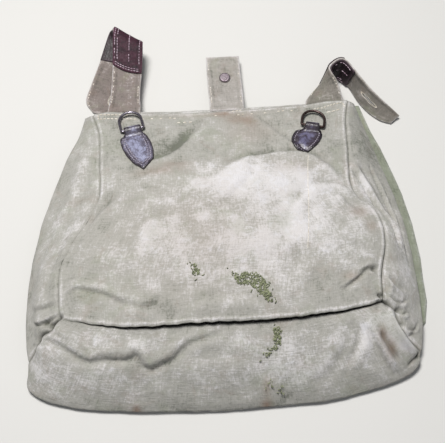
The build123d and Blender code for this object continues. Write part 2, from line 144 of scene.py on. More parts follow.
class Nodes:
    """Short ways to add a material's nodes."""

    def __init__(self, name):
        self.material = bpy.data.materials.new(name)
        self.material.use_nodes = True
        self.tree = self.material.node_tree
        self.shader = self.tree.nodes["Principled BSDF"]

    def add(self, kind, inputs=(), **settings):
        """A node with its inputs' values or links, and its settings."""
        node = self.tree.nodes.new(kind)
        for key, value in settings.items():
            setattr(node, key, value)
        for key, value in dict(inputs).items():
            self.feed(node.inputs[key], value)
        return node

    def feed(self, socket, value):
        """Links a socket, or sets its value."""
        if isinstance(value, bpy.types.NodeSocket):
            self.tree.links.new(value, socket)
        else:
            socket.default_value = value

    def place(self):
        """Position on the piece, in millimetres at rest."""
        return self.scaled(self.add("ShaderNodeTexCoord").outputs["Object"], (1000, 1000, 1000))

    def scaled(self, vector, scale):
        return self.add("ShaderNodeMapping", {"Vector": vector, "Scale": scale}).outputs["Vector"]

    def stored(self, name):
        """A number or place that the mesh stores at its points."""
        node = self.add("ShaderNodeAttribute", attribute_name=name)
        return node.outputs["Vector"] if name == "cloth" else node.outputs["Fac"]

    def noise(self, vector, size, detail=3.0, rough=0.55, twist=0.0):
        """Noise whose lumps are about size across, from 0 to 1."""
        inputs = {"Vector": vector, "Scale": 1 / size, "Detail": detail, "Roughness": rough}
        return self.add("ShaderNodeTexNoise", inputs | {"Distortion": twist}).outputs["Fac"]

    def wave(self, vector, size, along, twist=0.0, detail=0.0):
        """Stripes that repeat every size."""
        inputs = {"Vector": vector, "Scale": math.pi / (10 * size), "Distortion": twist, "Detail": detail}
        return self.add("ShaderNodeTexWave", inputs, bands_direction=along).outputs["Fac"]

    def cells(self, vector, size, feature):
        """Distances in a pattern of cells about size across."""
        node = self.add("ShaderNodeTexVoronoi", {"Vector": vector, "Scale": 1 / size}, feature=feature)
        return node.outputs["Distance"]

    def math(self, operation, first, second=0.0):
        node = self.add("ShaderNodeMath", operation=operation)
        self.feed(node.inputs[0], first)
        self.feed(node.inputs[1], second)
        return node.outputs[0]

    def span(self, value, low, high, to_low=0.0, to_high=1.0):
        """A value that goes from to_low to to_high while the first goes from low to high."""
        inputs = {"Value": value, "From Min": low, "From Max": high, "To Min": to_low, "To Max": to_high}
        return self.add("ShaderNodeMapRange", inputs, interpolation_type="SMOOTHSTEP").outputs["Result"]

    def mix(self, share, first, second, blend="MIX"):
        node = self.add("ShaderNodeMix", data_type="RGBA", blend_type=blend)
        self.feed(node.inputs["Factor"], share)
        self.feed(node.inputs["A"], first)
        self.feed(node.inputs["B"], second)
        return node.outputs["Result"]

    def bump(self, height, tall, strength=1.0, under=None):
        """A relief tall millimetres high."""
        inputs = {"Height": height, "Distance": tall / 1000, "Strength": strength}
        if under is not None:
            inputs["Normal"] = under
        return self.add("ShaderNodeBump", inputs).outputs["Normal"]

    def finish(self, colour, rough, normal=None, **sockets):
        """Feeds the shader and returns the material. Other sockets get plain values."""
        self.feed(self.shader.inputs["Base Color"], colour)
        self.feed(self.shader.inputs["Roughness"], rough)
        if normal is not None:
            self.feed(self.shader.inputs["Normal"], normal)
        for key, value in sockets.items():
            self.shader.inputs[key.replace("_", " ")].default_value = value
        return self.material


CHALK = linear(222, 221, 226)
BROWN_STAIN = linear(140, 117, 102)
MOSS_STAIN = linear(128, 140, 106)
# Colour of the painted shade in the canvas's folds, creases and seams
FOLD_SHADE = linear(54, 52, 45)
THREAD_STEP = 0.85


def canvas_material(name, pale, body, dark):
    """Plain-woven canvas: faded and stained in patches, paler on its ridges from rubbing and painted light,
    with painted shade in its folds, creases and seams.
    """
    pale, body, dark = linears(pale, body, dark)
    n = Nodes(name)
    place, cloth, wear_and_shading = n.place(), n.stored("cloth"), n.stored("wear_and_shading")
    patch = n.noise(place, 15, 5, 0.65, 0.6)
    fleck = n.noise(place, 2.2, 3, 0.7)
    slub = canvas_slubs(n, cloth)

    fade_and_shade = n.math("ADD", n.span(n.noise(place, 62, 3, 0.6), 0.32, 0.68, -0.2, 0.2),
                  n.span(patch, 0.35, 0.68, -0.22, 0.24))
    fade_and_shade = n.math("ADD", fade_and_shade, n.span(slub, 0.34, 0.66, -0.24, 0.24))
    fade_and_shade = n.math("ADD", fade_and_shade, n.span(fleck, 0.3, 0.7, -0.2, 0.2))
    fade_and_shade = n.math("ADD", fade_and_shade, wear_and_shading)
    colour = n.mix(n.span(fade_and_shade, -1.0, 0.0), dark, body)
    colour = n.mix(n.span(fade_and_shade, 0.0, 0.95), colour, pale)
    scuffed = n.math("ADD", n.noise(place, 9, 6, 0.74, 1.2), n.math("MULTIPLY", wear_and_shading, 0.1))
    chalk = n.math("MULTIPLY", n.span(scuffed, 0.57, 0.7), n.span(fade_and_shade, -0.1, 0.5))
    colour = n.mix(n.math("MULTIPLY", chalk, 0.55), colour, CHALK)
    colour = canvas_stains(n, place, colour, patch)
    # Painted shade in the folds, creases and seams, a little uneven
    fold_shade = n.math("MULTIPLY", n.stored("fold_shade"), n.span(fleck, 0.2, 0.8, 0.7, 1.0))
    colour = n.mix(fold_shade, colour, FOLD_SHADE)

    warp, weft = (n.wave(cloth, THREAD_STEP, way, 0.6, 1.0) for way in "XY")
    weave = n.math("MAXIMUM", warp, weft)
    colour = n.mix(n.span(weave, 0.75, 0.2, 0.0, 0.3), colour, dark)
    normal = n.bump(weave, 0.2, 0.7)
    normal = n.bump(slub, 0.7, 0.9, normal)
    normal = n.bump(n.noise(place, 4.5, 5, 0.65), 1.1, 0.6, normal)
    rough = n.span(fade_and_shade, -0.5, 0.7, 0.82, 0.96)
    return n.finish(colour, rough, normal, Sheen_Weight=0.15, Sheen_Roughness=0.6, Specular_IOR_Level=0.2)


def canvas_slubs(n, cloth):
    """Thick and thin threads of both directions of the weave."""
    warp = n.noise(n.scaled(cloth, (1.0, 0.11, 1.0)), 1.1, 2, 0.6)
    weft = n.noise(n.scaled(cloth, (0.11, 1.0, 1.0)), 1.1, 2, 0.6)
    return n.math("ADD", n.math("MULTIPLY", warp, 0.5), n.math("MULTIPLY", weft, 0.5))


def canvas_stains(n, place, colour, patch):
    """Brown blots, rust where the piece stores it, and a mossy tinge."""
    blot = n.noise(place, 24, 5, 0.7, 1.2)
    brown = n.math("MULTIPLY", n.span(blot, 0.5, 0.68), 0.2)
    rust = n.math("MULTIPLY", n.stored("rust"), n.span(patch, 0.25, 0.6, 0.45, 1.0))
    colour = n.mix(n.math("MAXIMUM", brown, rust), colour, BROWN_STAIN)
    moss = n.math("MULTIPLY", n.span(n.noise(place, 31, 4, 0.65, 0.8), 0.5, 0.7), 0.2)
    return n.mix(moss, colour, MOSS_STAIN)


def floor_material():
    """Plain pale paper."""
    n = Nodes("floor")
    soft = n.noise(n.place(), 900, 2)
    return n.finish(n.mix(soft, *linears((206, 205, 202), (211, 210, 208))), 0.85)


CANVAS = canvas_material("faded_canvas", (213, 210, 210), (169, 167, 161), (112, 114, 104))
STRAP_CANVAS = canvas_material("strap_canvas", (206, 201, 200), (164, 159, 154), (112, 111, 104))
LEFT_LOOP_CANVAS = canvas_material("grey_loop_canvas", (186, 178, 175), (132, 122, 118), (86, 82, 76))
RIGHT_LOOP_CANVAS = canvas_material("dark_loop_canvas", (188, 182, 178), (126, 121, 114), (76, 75, 69))
FLAP_CANVAS = canvas_material("green_canvas", (184, 188, 174), (146, 151, 134), (102, 108, 90))


# --- Mesh helpers ------------------------------------------------------------------------------------


def bell(value):
    """1 at 0, falling to nothing on both sides within about 2."""
    return np.exp(-value**2)


def eased(share):
    """A share from 0 to 1 with a soft start and end."""
    return share * share * (3 - 2 * share)


def unit(vectors):
    """Vectors at length 1."""
    return vectors / (np.linalg.norm(vectors, axis=-1)[..., None] + TINY)


def runs(line):
    """Distance along a line of points to each of them."""
    return np.concatenate([[0], np.cumsum(np.linalg.norm(np.diff(line, axis=0), axis=1))])


def curve(points, count, crowd=0.0):
    """A smooth line through a few points, as evenly spaced ones, or closer ones near both ends."""
    through = np.array(points, float)
    ends = np.vstack([2 * through[0] - through[1], through, 2 * through[-1] - through[-2]])
    share = np.linspace(0, 1, 24, endpoint=False)[:, None]
    fine = []
    for a, b, c, d in zip(ends, ends[1:], ends[2:], ends[3:]):
        fine.append(b + (c - a) * share / 2 + (2 * a - 5 * b + 4 * c - d) * share**2 / 2
                    + (3 * b - a - 3 * c + d) * share**3 / 2)
    fine = np.vstack(fine + [through[-1:]])
    run = runs(fine)
    share = crowded(count, crowd)
    return np.column_stack([np.interp(share * run[-1], run, fine[:, axis]) for axis in range(fine.shape[1])])


def crowded(count, crowd):
    """Shares from 0 to 1, closer together near both ends."""
    share = np.linspace(0, 1, count)
    return share - crowd * np.sin(2 * np.pi * share) / (2 * np.pi)


def span_of(points):
    """Length of a line through points."""
    return float(np.linalg.norm(np.diff(np.array(points, float), axis=0), axis=1).sum())


def shares(line):
    """How far along its line each point lies, from 0 to 1."""
    run = runs(line)
    return run / run[-1]


def patch(top, bottom, left, right):
    """A smooth surface between four edges: rows from top to bottom, columns from left to right."""
    across = shares(top)[None, :, None]
    down = shares(left)[:, None, None]
    between_rows = (1 - down) * top[None] + down * bottom[None]
    between_columns = (1 - across) * left[:, None] + across * right[:, None]
    corners = (1 - across) * ((1 - down) * top[0] + down * bottom[0])
    corners = corners + across * ((1 - down) * top[-1] + down * bottom[-1])
    return between_rows + between_columns - corners


def grid_faces(rows, columns, start=0, skip=()):
    """Faces of a grid of points, without the cells that are skipped."""
    faces = []
    for row in range(rows - 1):
        for column in range(columns - 1):
            if (row, column) in skip:
                continue
            corner = start + row * columns + column
            faces.append((corner, corner + columns, corner + columns + 1, corner + 1))
    return faces


def mesh_object(name, points, faces, material):
    """A smooth object from points in the drawing's millimetres."""
    mesh = bpy.data.meshes.new(name)
    places = [tuple(point) for point in metres(points)]
    mesh.from_pydata(places, [], [tuple(map(int, face)) for face in faces])
    mesh.polygons.foreach_set("use_smooth", [True] * len(mesh.polygons))
    mesh.materials.append(material)
    piece = bpy.data.objects.new(name, mesh)
    bpy.context.collection.objects.link(piece)
    return piece


def store(piece, name, values):
    """Keeps a number, or a place, at each of a piece's points."""
    values = np.asarray(values, np.float32)
    kind, field = ("FLOAT", "value") if values.ndim == 1 else ("FLOAT_VECTOR", "vector")
    piece.data.attributes.new(name, kind, "POINT").data.foreach_set(field, values.ravel())


def thicken(piece, thick):
    """Gives a sheet its thickness, on the side that its faces look away from."""
    solid = piece.modifiers.new("thick", "SOLIDIFY")
    solid.thickness = thick / 1000
    solid.offset = -1.0
    solid.use_even_offset = False
    graph = bpy.context.evaluated_depsgraph_get()
    evaluated = piece.evaluated_get(graph)
    final = bpy.data.meshes.new_from_object(evaluated, preserve_all_data_layers=True, depsgraph=graph)
    piece.modifiers.clear()
    piece.data = final
    return piece


# --- The bag's canvas --------------------------------------------------------------------------------

TOP_EDGE = [
    (-117.6, 116.5, 19), (-104, 119, 20), (-87, 117.5, 20), (-63, 115, 20), (-35, 113.5, 20), (-4, 113.5, 20),
    (26, 114.5, 20), (53, 115.5, 20), (85, 117.5, 20), (108, 120.5, 20), (127, 121, 19),
]
LEFT_SEAM = [
    (-117.6, 116.5, 19), (-110.6, 90, 24), (-109.4, 60, 28), (-108, 33, 31), (-109.5, 14, 33), (-119, -5, 34),
    (-134, -31, 36), (-140.3, -46, 36), (-141, -68, 36), (-139.5, -90, 35),
]
RIGHT_SEAM = [
    (127, 121, 19), (121.5, 95, 23), (118.8, 60, 28), (116.2, 28, 32), (119.5, 9, 34), (133, -4, 35),
    (138.4, -20, 36), (137.6, -40, 36), (131, -64, 36), (129, -89, 35),
]
BOTTOM_SEAM = [
    (-139.5, -90, 35), (-121.8, -95.7, 37), (-97, -101, 39), (-70, -104, 40), (-24, -103.5, 41),
    (25, -103.8, 41), (58, -102, 40), (92, -98, 38), (117, -92.6, 36), (129, -89, 35),
]
LEFT_FOLD = [
    (-126, 117, 13), (-132, 96, 12), (-144, 69, 11), (-160, 18, 11), (-168, -20, 10.6), (-172, -52, 10.4),
    (-172.5, -82, 10.6), (-171.4, -101, 11), (-168.5, -119.5, 11),
]
RIGHT_FOLD = [
    (134, 120, 13), (141, 92, 12), (150, 56, 11), (161, 10, 11), (166, -30, 11), (167, -72, 10.6),
    (166, -103, 10.6), (161, -127.5, 10),
]
LEFT_MITRE = [
    (-139.5, -90, 35), (-144.3, -94.1, 32), (-147, -98.6, 30), (-153, -100.6, 27.5), (-157.5, -104.5, 24),
    (-160, -109, 19), (-164, -114.5, 14.5), (-168.5, -119.5, 11),
]
RIGHT_MITRE = [
    (129, -89, 35), (134, -91.6, 34), (138.4, -96.5, 31), (142, -106.5, 26.5), (150.1, -118, 19),
    (161, -127.5, 10),
]
BOTTOM_FOLD = [
    (-168.5, -119.5, 11), (-169, -127, 8), (-170.3, -136, 5.8), (-168, -142.5, 5), (-158, -149.5, 4.6),
    (-140, -155.5, 4.5), (-117.4, -160.4, 4.5), (-77, -163.8, 4.5), (-43.6, -165.2, 4.5), (0, -166, 4.5),
    (43, -164.6, 4.5), (70, -163.8, 4.5), (97, -160, 4.5), (119, -155, 4.6), (140.3, -149.2, 5.2),
    (153, -142.6, 6.2), (159, -135.5, 7.8), (161, -127.5, 10),
]

ROWS = 176
BACK_COLUMNS = 216
SIDE_COLUMNS = 44
CROWD = 0.5


def back_height(x, y):
    """How far the stuffed back stands above the surface between its seams."""
    down = [-121, -95, -75, -58, -45, -25, 5, 40, 92, 110]
    middle = np.interp(-y, down, [0, 1, 3, 7, 11, 14, 14, 14, 8, 4])
    half = np.interp(-y, [-121, -25, 5, 40, 110], [122, 113, 126, 138, 134])
    share = np.clip(np.abs(x - 4) / half, 0, 1)
    return middle * (1 - share**2.4)


def tucked(edge, inwards, profile):
    """Rows of points from an edge on, each moved inwards and down by the profile."""
    rows = [edge + inwards * step + np.array([0, 0, drop]) for step, drop in profile]
    return np.array(rows)


def inward_of(edge, centre):
    """Level direction from each point of an edge to the inside, square to the edge."""
    along = np.gradient(edge, axis=0)
    sideways = unit(np.column_stack([-along[:, 1], along[:, 0], np.zeros(len(edge))]))
    towards = np.asarray(centre, float) - edge
    flip = np.sign((sideways * towards).sum(1))
    return sideways * flip[:, None]


SIDE_TUCK = [(0.3, -1.0), (1.0, -1.8), (2.4, -2.2), (4.2, -2.2), (6.0, -2.0), (8.0, -1.8)]
BOTTOM_TUCK = [(0.5, -0.45), (1.8, -0.72), (4.0, -0.86), (8.0, -0.88), (13.0, -0.4), (18.0, 0.4)]


def bag_surface():
    """The bag's back, sides and bottom as grids of points that share their edges."""
    top = curve(TOP_EDGE, BACK_COLUMNS, CROWD)
    seam = {"left": curve(LEFT_SEAM, ROWS, CROWD), "right": curve(RIGHT_SEAM, ROWS, CROWD)}
    low = curve(BOTTOM_SEAM, BACK_COLUMNS, CROWD)
    low[1:-1, 1] += [0.9 * noise.noise(Vector((x / 5.5, 3.3, 0))) for x in low[1:-1, 0]]
    back = patch(top, low, seam["left"], seam["right"])
    back[..., 2] += back_height(back[..., 0], back[..., 1])
    grids = {"back_panel": back}
    mitre = {"left": curve(LEFT_MITRE, SIDE_COLUMNS), "right": curve(RIGHT_MITRE, SIDE_COLUMNS)}
    fold = {"left": curve(LEFT_FOLD, ROWS, CROWD), "right": curve(RIGHT_FOLD, ROWS, CROWD)}
    for side in ("left", "right"):
        upper = np.linspace(seam[side][0], fold[side][0], SIDE_COLUMNS)
        face = patch(upper, mitre[side], seam[side], fold[side])
        inwards = inward_of(fold[side], (0, -40, 0))
        under = tucked(fold[side], inwards, SIDE_TUCK).transpose(1, 0, 2)
        grids[f"side_gusset_{side}"] = np.concatenate([face, under], axis=1)
    edge = curve(BOTTOM_FOLD, BACK_COLUMNS, CROWD)
    face = patch(low, edge, mitre["left"], mitre["right"])
    inwards = inward_of(edge, (0, -40, 0))
    drop = edge[:, 2:3]
    under = [edge + inwards * step + np.array([0, 0, 1]) * drop * share for step, share in BOTTOM_TUCK]
    grids["bottom_gusset"] = np.concatenate([face, np.array(under)], axis=0)
    return grids


def grid_cloth(grid):
    """For each point of a grid, its place on the flat cloth, in millimetres."""
    across = np.linalg.norm(np.diff(grid, axis=1), axis=2).mean(0)
    down = np.linalg.norm(np.diff(grid, axis=0), axis=2).mean(1)
    u = np.concatenate([[0], np.cumsum(across)])
    v = np.concatenate([[0], np.cumsum(down)])
    flat = np.zeros(grid.shape)
    flat[..., 0] = u[None]
    flat[..., 1] = -v[:, None]
    return flat


def normals_of(grid, outside=(0, 0, 1)):
    """Unit normals of a grid's points, on the side that outside points to."""
    normal = unit(np.cross(np.gradient(grid, axis=1), np.gradient(grid, axis=0)))
    if (normal.mean((0, 1)) @ np.array(outside)) < 0:
        normal = -normal
    return normal


# Folds of the canvas: points along the ridge, its width and height, the depth of the valley beside it, and
# the valley's side: 1 for the left of someone who walks along the points, -1 for the right
FOLDS = [
    ([(-72, 43, 33), (-49, 52, 32), (-31, 67, 29), (-17, 86, 26), (-4, 104, 22)], 7, 2.6, 3.4, 1),
    ([(-90, 20, 35), (-66, 31, 35), (-40, 40, 35), (-15, 45, 35)], 6, 1.7, 1.4, 1),
    ([(-133, -27, 36), (-104, 0, 34), (-80, 18, 35), (-62, 30, 35)], 5, 1.3, 1.2, 1),
    ([(-2, 22, 40), (13, 38, 38), (29, 48, 37), (54, 52, 36), (77, 51, 33), (98, 33, 34), (114, 19, 34)],
     7, 2.6, 3.0, 1),
    ([(26, 115, 20), (32, 108, 20), (52, 84, 24), (78, 54, 30)], 3.5, 0.9, 1.3, 1),
    ([(60, -20, 44), (68, -2, 43), (82, 13, 41), (100, 17, 38), (118, 8, 37), (134, -7, 36)], 6, 1.8, 1.6, 1),
    ([(-72, -40, 43), (-67, -21, 43), (-55, -14, 42), (-30, -12, 42)], 6, 1.4, 1.2, 1),
    ([(-20, 0, 47), (4, 12, 44), (20, 30, 40), (26, 50, 36)], 6, 1.3, 1.0, -1),
    ([(96, -76, 40), (107, -68, 40), (116, -61, 39), (126, -59, 38)], 2.6, 2.2, 3.4, -1),
    ([(104, -46, 41), (118, -50, 40), (131, -58, 37)], 5, 1.3, 1.4, 1),
    ([(-140, -77, 36), (-134, -68, 36), (-126, -63.5, 37), (-111, -66.5, 39), (-99, -71, 40),
      (-85, -78, 41)], 3.6, 1.9, 1.7, -1),
    ([(-92, -76, 41), (-80, -79, 42), (-66, -82, 43), (-56, -75, 44)], 5, 0.8, 1.5, -1),
    ([(-74, 112, 21), (-63, 99, 22), (-47, 94.4, 22), (-28, 95.6, 22), (-11, 103, 21), (5, 111, 20)],
     2.0, 0.9, 0.5, 1),
    ([(-106, 18, 33), (-119, 0, 34), (-133, -26, 36)], 5, 1.6, 1.4, 1),
    ([(-30, -96, 43), (-10, -88, 45), (14, -90, 45), (30, -97, 43)], 6, 1.0, 0.8, 1),
    ([(119, -8, 40), (108, -2, 41), (100, 8, 40)], 4, 1.0, 1.2, -1),
]
SIDE_FOLDS = [
    ([(118, 52, 29), (126, 40, 28), (134, 26, 27), (142, 8, 26), (149, -14, 23), (153, -34, 20)],
     4.5, 3.4, 5.0, -1),
    ([(141, 44, 22), (148, 26, 21), (153, 8, 20), (157, -12, 20), (158, -34, 19)], 2.6, 1.8, 3.0, -1),
    ([(121, 108, 21), (123, 80, 24), (126, 58, 25)], 4, 1.4, 1.6, -1),
    ([(-112, 24, 30), (-122, -2, 30), (-138, -30, 30)], 6, 2.2, 2.2, 1),
    ([(-114, 84, 22), (-122, 60, 22), (-132, 30, 22), (-146, -10, 20)], 7, 1.6, 1.4, 1),
    ([(-140, -84, 34), (-148, -88, 31), (-156, -90, 27), (-162, -88, 22)], 2.2, 2.4, 3.2, 1),
    ([(-141, -72, 34), (-152, -76, 28), (-162, -75, 20)], 3, 1.4, 1.8, 1),
    ([(-152, -99, 26), (-157, -104, 25), (-163, -106, 20)], 1.8, 1.6, 3.0, 1),
    ([(131, -58, 35), (136, -74, 33), (135, -86, 33)], 2.6, 2.4, 2.6, -1),
    ([(132, -70, 35), (142, -78, 30), (151, -80, 22)], 3, 1.6, 2.2, 1),
    ([(131, -84, 34), (138, -90, 31), (146, -92, 27), (152, -88, 22)], 2.0, 2.2, 3.2, 1),
    ([(141, -98, 29), (147, -101, 26), (152, -98, 22)], 1.8, 1.8, 3.0, 1),
    ([(150, -112, 18), (156, -112, 14), (160, -106, 12)], 1.8, 1.4, 2.4, 1),
]
BOTTOM_FOLDS = [
    ([(-148, -100, 28), (-138, -105, 28), (-129, -110, 26), (-115, -118, 24), (-101, -118, 27),
      (-84, -119, 28),
      (-78, -116, 30), (-71, -120, 29), (-66, -127, 25), (-58, -125, 27), (-50, -122, 29), (-36, -112, 33),
      (-11, -105, 39)], 5.0, 2.6, 3.4, -1),
    ([(134, -96, 34), (137, -107, 28), (144.5, -119.5, 20.5), (154, -129, 11.5)], 3.4, 4.6, 2.6, 1),
    ([(116, -106, 32), (122, -118, 26), (129, -130, 18), (136, -140, 11)], 4.0, 3.0, 3.0, -1),
    ([(107, -100, 34), (112, -112, 28), (108, -126, 20), (98, -138, 14)], 5, 1.5, 2.0, -1),
    ([(90, -112, 30), (82, -126, 22), (70, -138, 16)], 7, 1.2, 1.3, 1),
    ([(-40, -136, 20), (-14, -132, 22), (18, -138, 18)], 9, 1.2, 1.0, 1),
]
# Crisp creases: points, half-width, depth, and how dark the painted shade along the line is
CREASES = [
    ([(120.1, 47.7, 28), (128.9, 37.9, 28), (137.5, 18.5, 27), (147.2, -5, 25), (151.6, -14.1, 23)],
     2.8, 3.6, 0.85),
    ([(142, 46, 22), (148.5, 27, 21), (153.6, 8.1, 20), (157.4, -9.1, 20), (159, -33.1, 18),
      (160.5, -52, 17)], 2.0, 3.0, 0.8),
    ([(102.5, -70.8, 39), (109.4, -66, 40), (118.8, -61.2, 39), (123.6, -61.6, 38), (128.7, -68.5, 36)],
     1.7, 2.6, 0.55),
    ([(-147, -99.5, 30), (-144.3, -94.1, 32), (-137.1, -89.4, 35)], 1.6, 2.6, 1.1),
    ([(-158, -105.5, 24), (-155.7, -101, 26), (-147.4, -99.9, 30)], 1.5, 2.6, 1.0),
    ([(-155, -91.2, 30), (-151, -93.4, 31), (-145, -93.5, 33)], 1.4, 2.0, 0.7),
    ([(-146, -98.6, 30), (-134.5, -106.3, 27), (-124.3, -112.2, 25), (-110.5, -120.9, 24)], 1.9, 1.6, 0.5),
    ([(-110.5, -120.9, 24), (-101, -120.6, 26), (-85, -120, 28)], 2.6, 1.0, 0.22),
    ([(120.8, -93.1, 36), (129.5, -89.5, 35), (138.4, -95.6, 32)], 1.6, 2.6, 1.1),
    ([(124.7, -83.2, 37), (128.5, -87.5, 36)], 1.5, 2.2, 1.0),
    ([(121.5, -97.3, 33), (124.3, -92, 35)], 1.2, 1.4, 0.6),
    ([(139.3, -100.5, 30), (141.5, -104.9, 28), (143.6, -109, 26)], 1.5, 2.8, 1.0),
    ([(149.5, -117, 20), (154, -113.6, 18), (159.6, -112, 15)], 1.3, 2.0, 0.6),
    ([(146, -139.8, 9), (153.7, -133, 10), (161, -127.4, 10)], 1.4, 2.4, 0.7),
    ([(122.4, -110.5, 28), (126.5, -117, 25), (130.7, -123.7, 21), (136, -131, 17), (141, -137, 14)],
     2.6, 3.6, 0.45),
]
# Short pits where the gathered cloth dives into a seam: middle, reach and depth
PITS = [
    ((-139, -89, 35), 2.6, 3.4), ((-147, -95, 31), 2.4, 3.4), ((-157, -105, 24), 2.6, 4.2),
    ((-151, -91, 31), 2.0, 2.6),
    ((128, -85, 35), 2.0, 3.0), ((132, -92, 34), 2.6, 3.6), ((142, -96, 28), 2.2, 3.0), ((144, -108, 25),
     2.2, 3.4),
    ((159, -131, 11), 2.4, 3.0), ((125, -61, 38), 2.4, 2.0),
]


def fold_height(grid, normal, fold):
    """How far one fold lifts or lowers each point of a grid."""
    points, width, rise, valley, side = fold
    line = curve(points, 40)
    away = grid[..., None, :] - line
    far = np.linalg.norm(away, axis=-1)
    nearest = far.argmin(-1)
    rows, columns = np.indices(nearest.shape)
    off = away[rows, columns, nearest]
    along = unit(np.gradient(line, axis=0)[nearest])
    distance = (np.cross(along, off) * normal).sum(-1) * side
    off_end = np.abs((along * off).sum(-1))
    reach = np.sqrt(distance**2 + off_end**2) * np.sign(distance + TINY)
    taper = np.sin(np.pi * np.clip((nearest + 2) / (len(line) + 3), 0, 1)) ** 0.6
    ridge = bell(reach / width)
    dip = bell((reach - 1.15 * width) / (0.6 * width))
    return (rise * ridge - valley * dip) * taper


def pit_depth(grid):
    """How deep the seams' gathers pull each point of a grid in."""
    depth = np.zeros(grid.shape[:2])
    for middle, reach, deep in PITS:
        far = np.linalg.norm((grid - np.array(middle, float)) * (1, 1, 0.4), axis=-1)
        depth = np.maximum(depth, deep * bell(far / reach))
    return depth


def crease_lines(grid):
    """How deep the crisp creases are at each point of a grid, and how dark their painted shade is."""
    deep, dark = np.zeros(grid.shape[:2]), np.zeros(grid.shape[:2])
    for points, reach, depth, shade in CREASES:
        line = curve(points, 30)
        away = (grid[..., None, :] - line) * (1, 1, 0.3)
        far = np.linalg.norm(away, axis=-1)
        near_end = np.minimum(far.argmin(-1), len(line) - 1 - far.argmin(-1)) / 6
        soft = np.clip(near_end, 0.25, 1)
        deep = np.maximum(deep, depth * soft * bell(far.min(-1) / reach))
        dark = np.maximum(dark, shade * soft * bell(far.min(-1) / (0.7 * reach)))
    return deep, dark


def seam_show(side, y):
    """How clearly a side seam shows at a height: it dives under the stuffed cloth half-way down."""
    if side == "left":
        return np.interp(-y, [-26, -14, 40, 56], [1, 0.1, 0.1, 1])
    return np.interp(-y, [-24, -14, 2, 10], [1, 0.2, 0.2, 1])


def crumple(grid, size, seed):
    """Smooth noise over a grid, about from -1 to 1, with lumps of a size."""
    flat = grid.reshape(-1, 3) / size
    shift = Vector((seed * 17.3, seed * 5.1, seed * 2.7))
    values = [noise.noise(Vector(point) + shift) for point in flat]
    return np.array(values).reshape(grid.shape[:2])


def creases(grid, size, seed):
    """Sharp-crested noise over a grid: thin ridges between soft hollows, from -1 to 1."""
    return 1 - 3.2 * np.sqrt(crumple(grid, size, seed) ** 2 + 0.0025)


def nearest_of(line, grid):
    """For each point of a grid, the nearest point of a line: its place in the line and how far it is."""
    tree = kdtree.KDTree(len(line))
    for index, point in enumerate(line):
        tree.insert(point, index)
    tree.balance()
    found = [tree.find(point)[1:] for point in grid.reshape(-1, 3)]
    index, distance = (np.array(column).reshape(grid.shape[:2]) for column in zip(*found))
    return index, distance


def edge_distance(line, grid):
    """Distance from each point of a grid to a line of points."""
    return nearest_of(line, grid)[1]


def puckers(grid, line, seed, size=6.0, reach=9.0):
    """Little gathers that run off a seam."""
    nearest, distance = nearest_of(line, grid)
    place = (shares(line) * span_of(line) / size)[nearest]
    wave = np.array([[noise.noise(Vector((value, seed * 3.1, 0))) for value in row] for row in place])
    return wave * np.exp(-(distance / reach) ** 1.2)


def unevenness(grid, soft, sharp):
    """Soft noise and sharp-crested noise over a grid, each a list of heights, sizes and seeds."""
    lumps = sum(tall * crumple(grid, size, seed) for tall, size, seed in soft)
    return lumps + sum(tall * creases(grid, size, seed) for tall, size, seed in sharp)


def pit_shade(pits):
    """How dark the deeper part of a seam's gathers is."""
    return 0.3 * np.maximum(pits - 0.8, 0)


def shape_back(grid):
    """Folds, dents and seams of the back: the new grid, its lift, its seam ridges and its lines of painted
    shade.
    """
    normal = normals_of(grid)
    lift = sum(fold_height(grid, normal, fold) for fold in FOLDS)
    lift += unevenness(grid, [(1.2, 42, 1), (0.9, 20, 2), (0.3, 9, 4)], [(0.5, 30, 3), (0.2, 12, 5)])
    lines = {"top": grid[0], "left": grid[:, 0], "right": grid[:, -1], "low": grid[-1]}
    show = {"top": 1.0, "low": 1.0} | {side: seam_show(side, grid[..., 1]) for side in ("left", "right")}
    # Painted shade along the seams, darker along the bottom and the right seam
    shade = {"top": 0.0, "low": 0.5, "left": 0.25 * show["left"], "right": 0.55 * show["right"]}
    calm, groove, ridge, dark = 1.0, 0.0, 0.0, 0.0
    for seed, (name, line) in enumerate(lines.items()):
        edge = edge_distance(line, grid)
        lift += 0.8 * puckers(grid, line, seed + 1) * show[name]
        calm = np.minimum(calm, 1 - 0.75 * show[name] * bell(edge / 6))
        groove = np.maximum(groove, show[name] * bell(edge / 0.9))
        ridge = np.maximum(ridge, show[name] * bell((edge - 2.4) / 1.2))
        dark = np.maximum(dark, shade[name] * bell(edge / 0.5))
    deep, crease_dark = crease_lines(grid)
    pits = pit_depth(grid)
    lift = lift * calm + 0.5 * ridge - 0.4 * groove - pits - deep
    dark = np.maximum(np.maximum(dark, crease_dark), pit_shade(pits))
    return grid + normal * lift[..., None], lift, ridge, dark


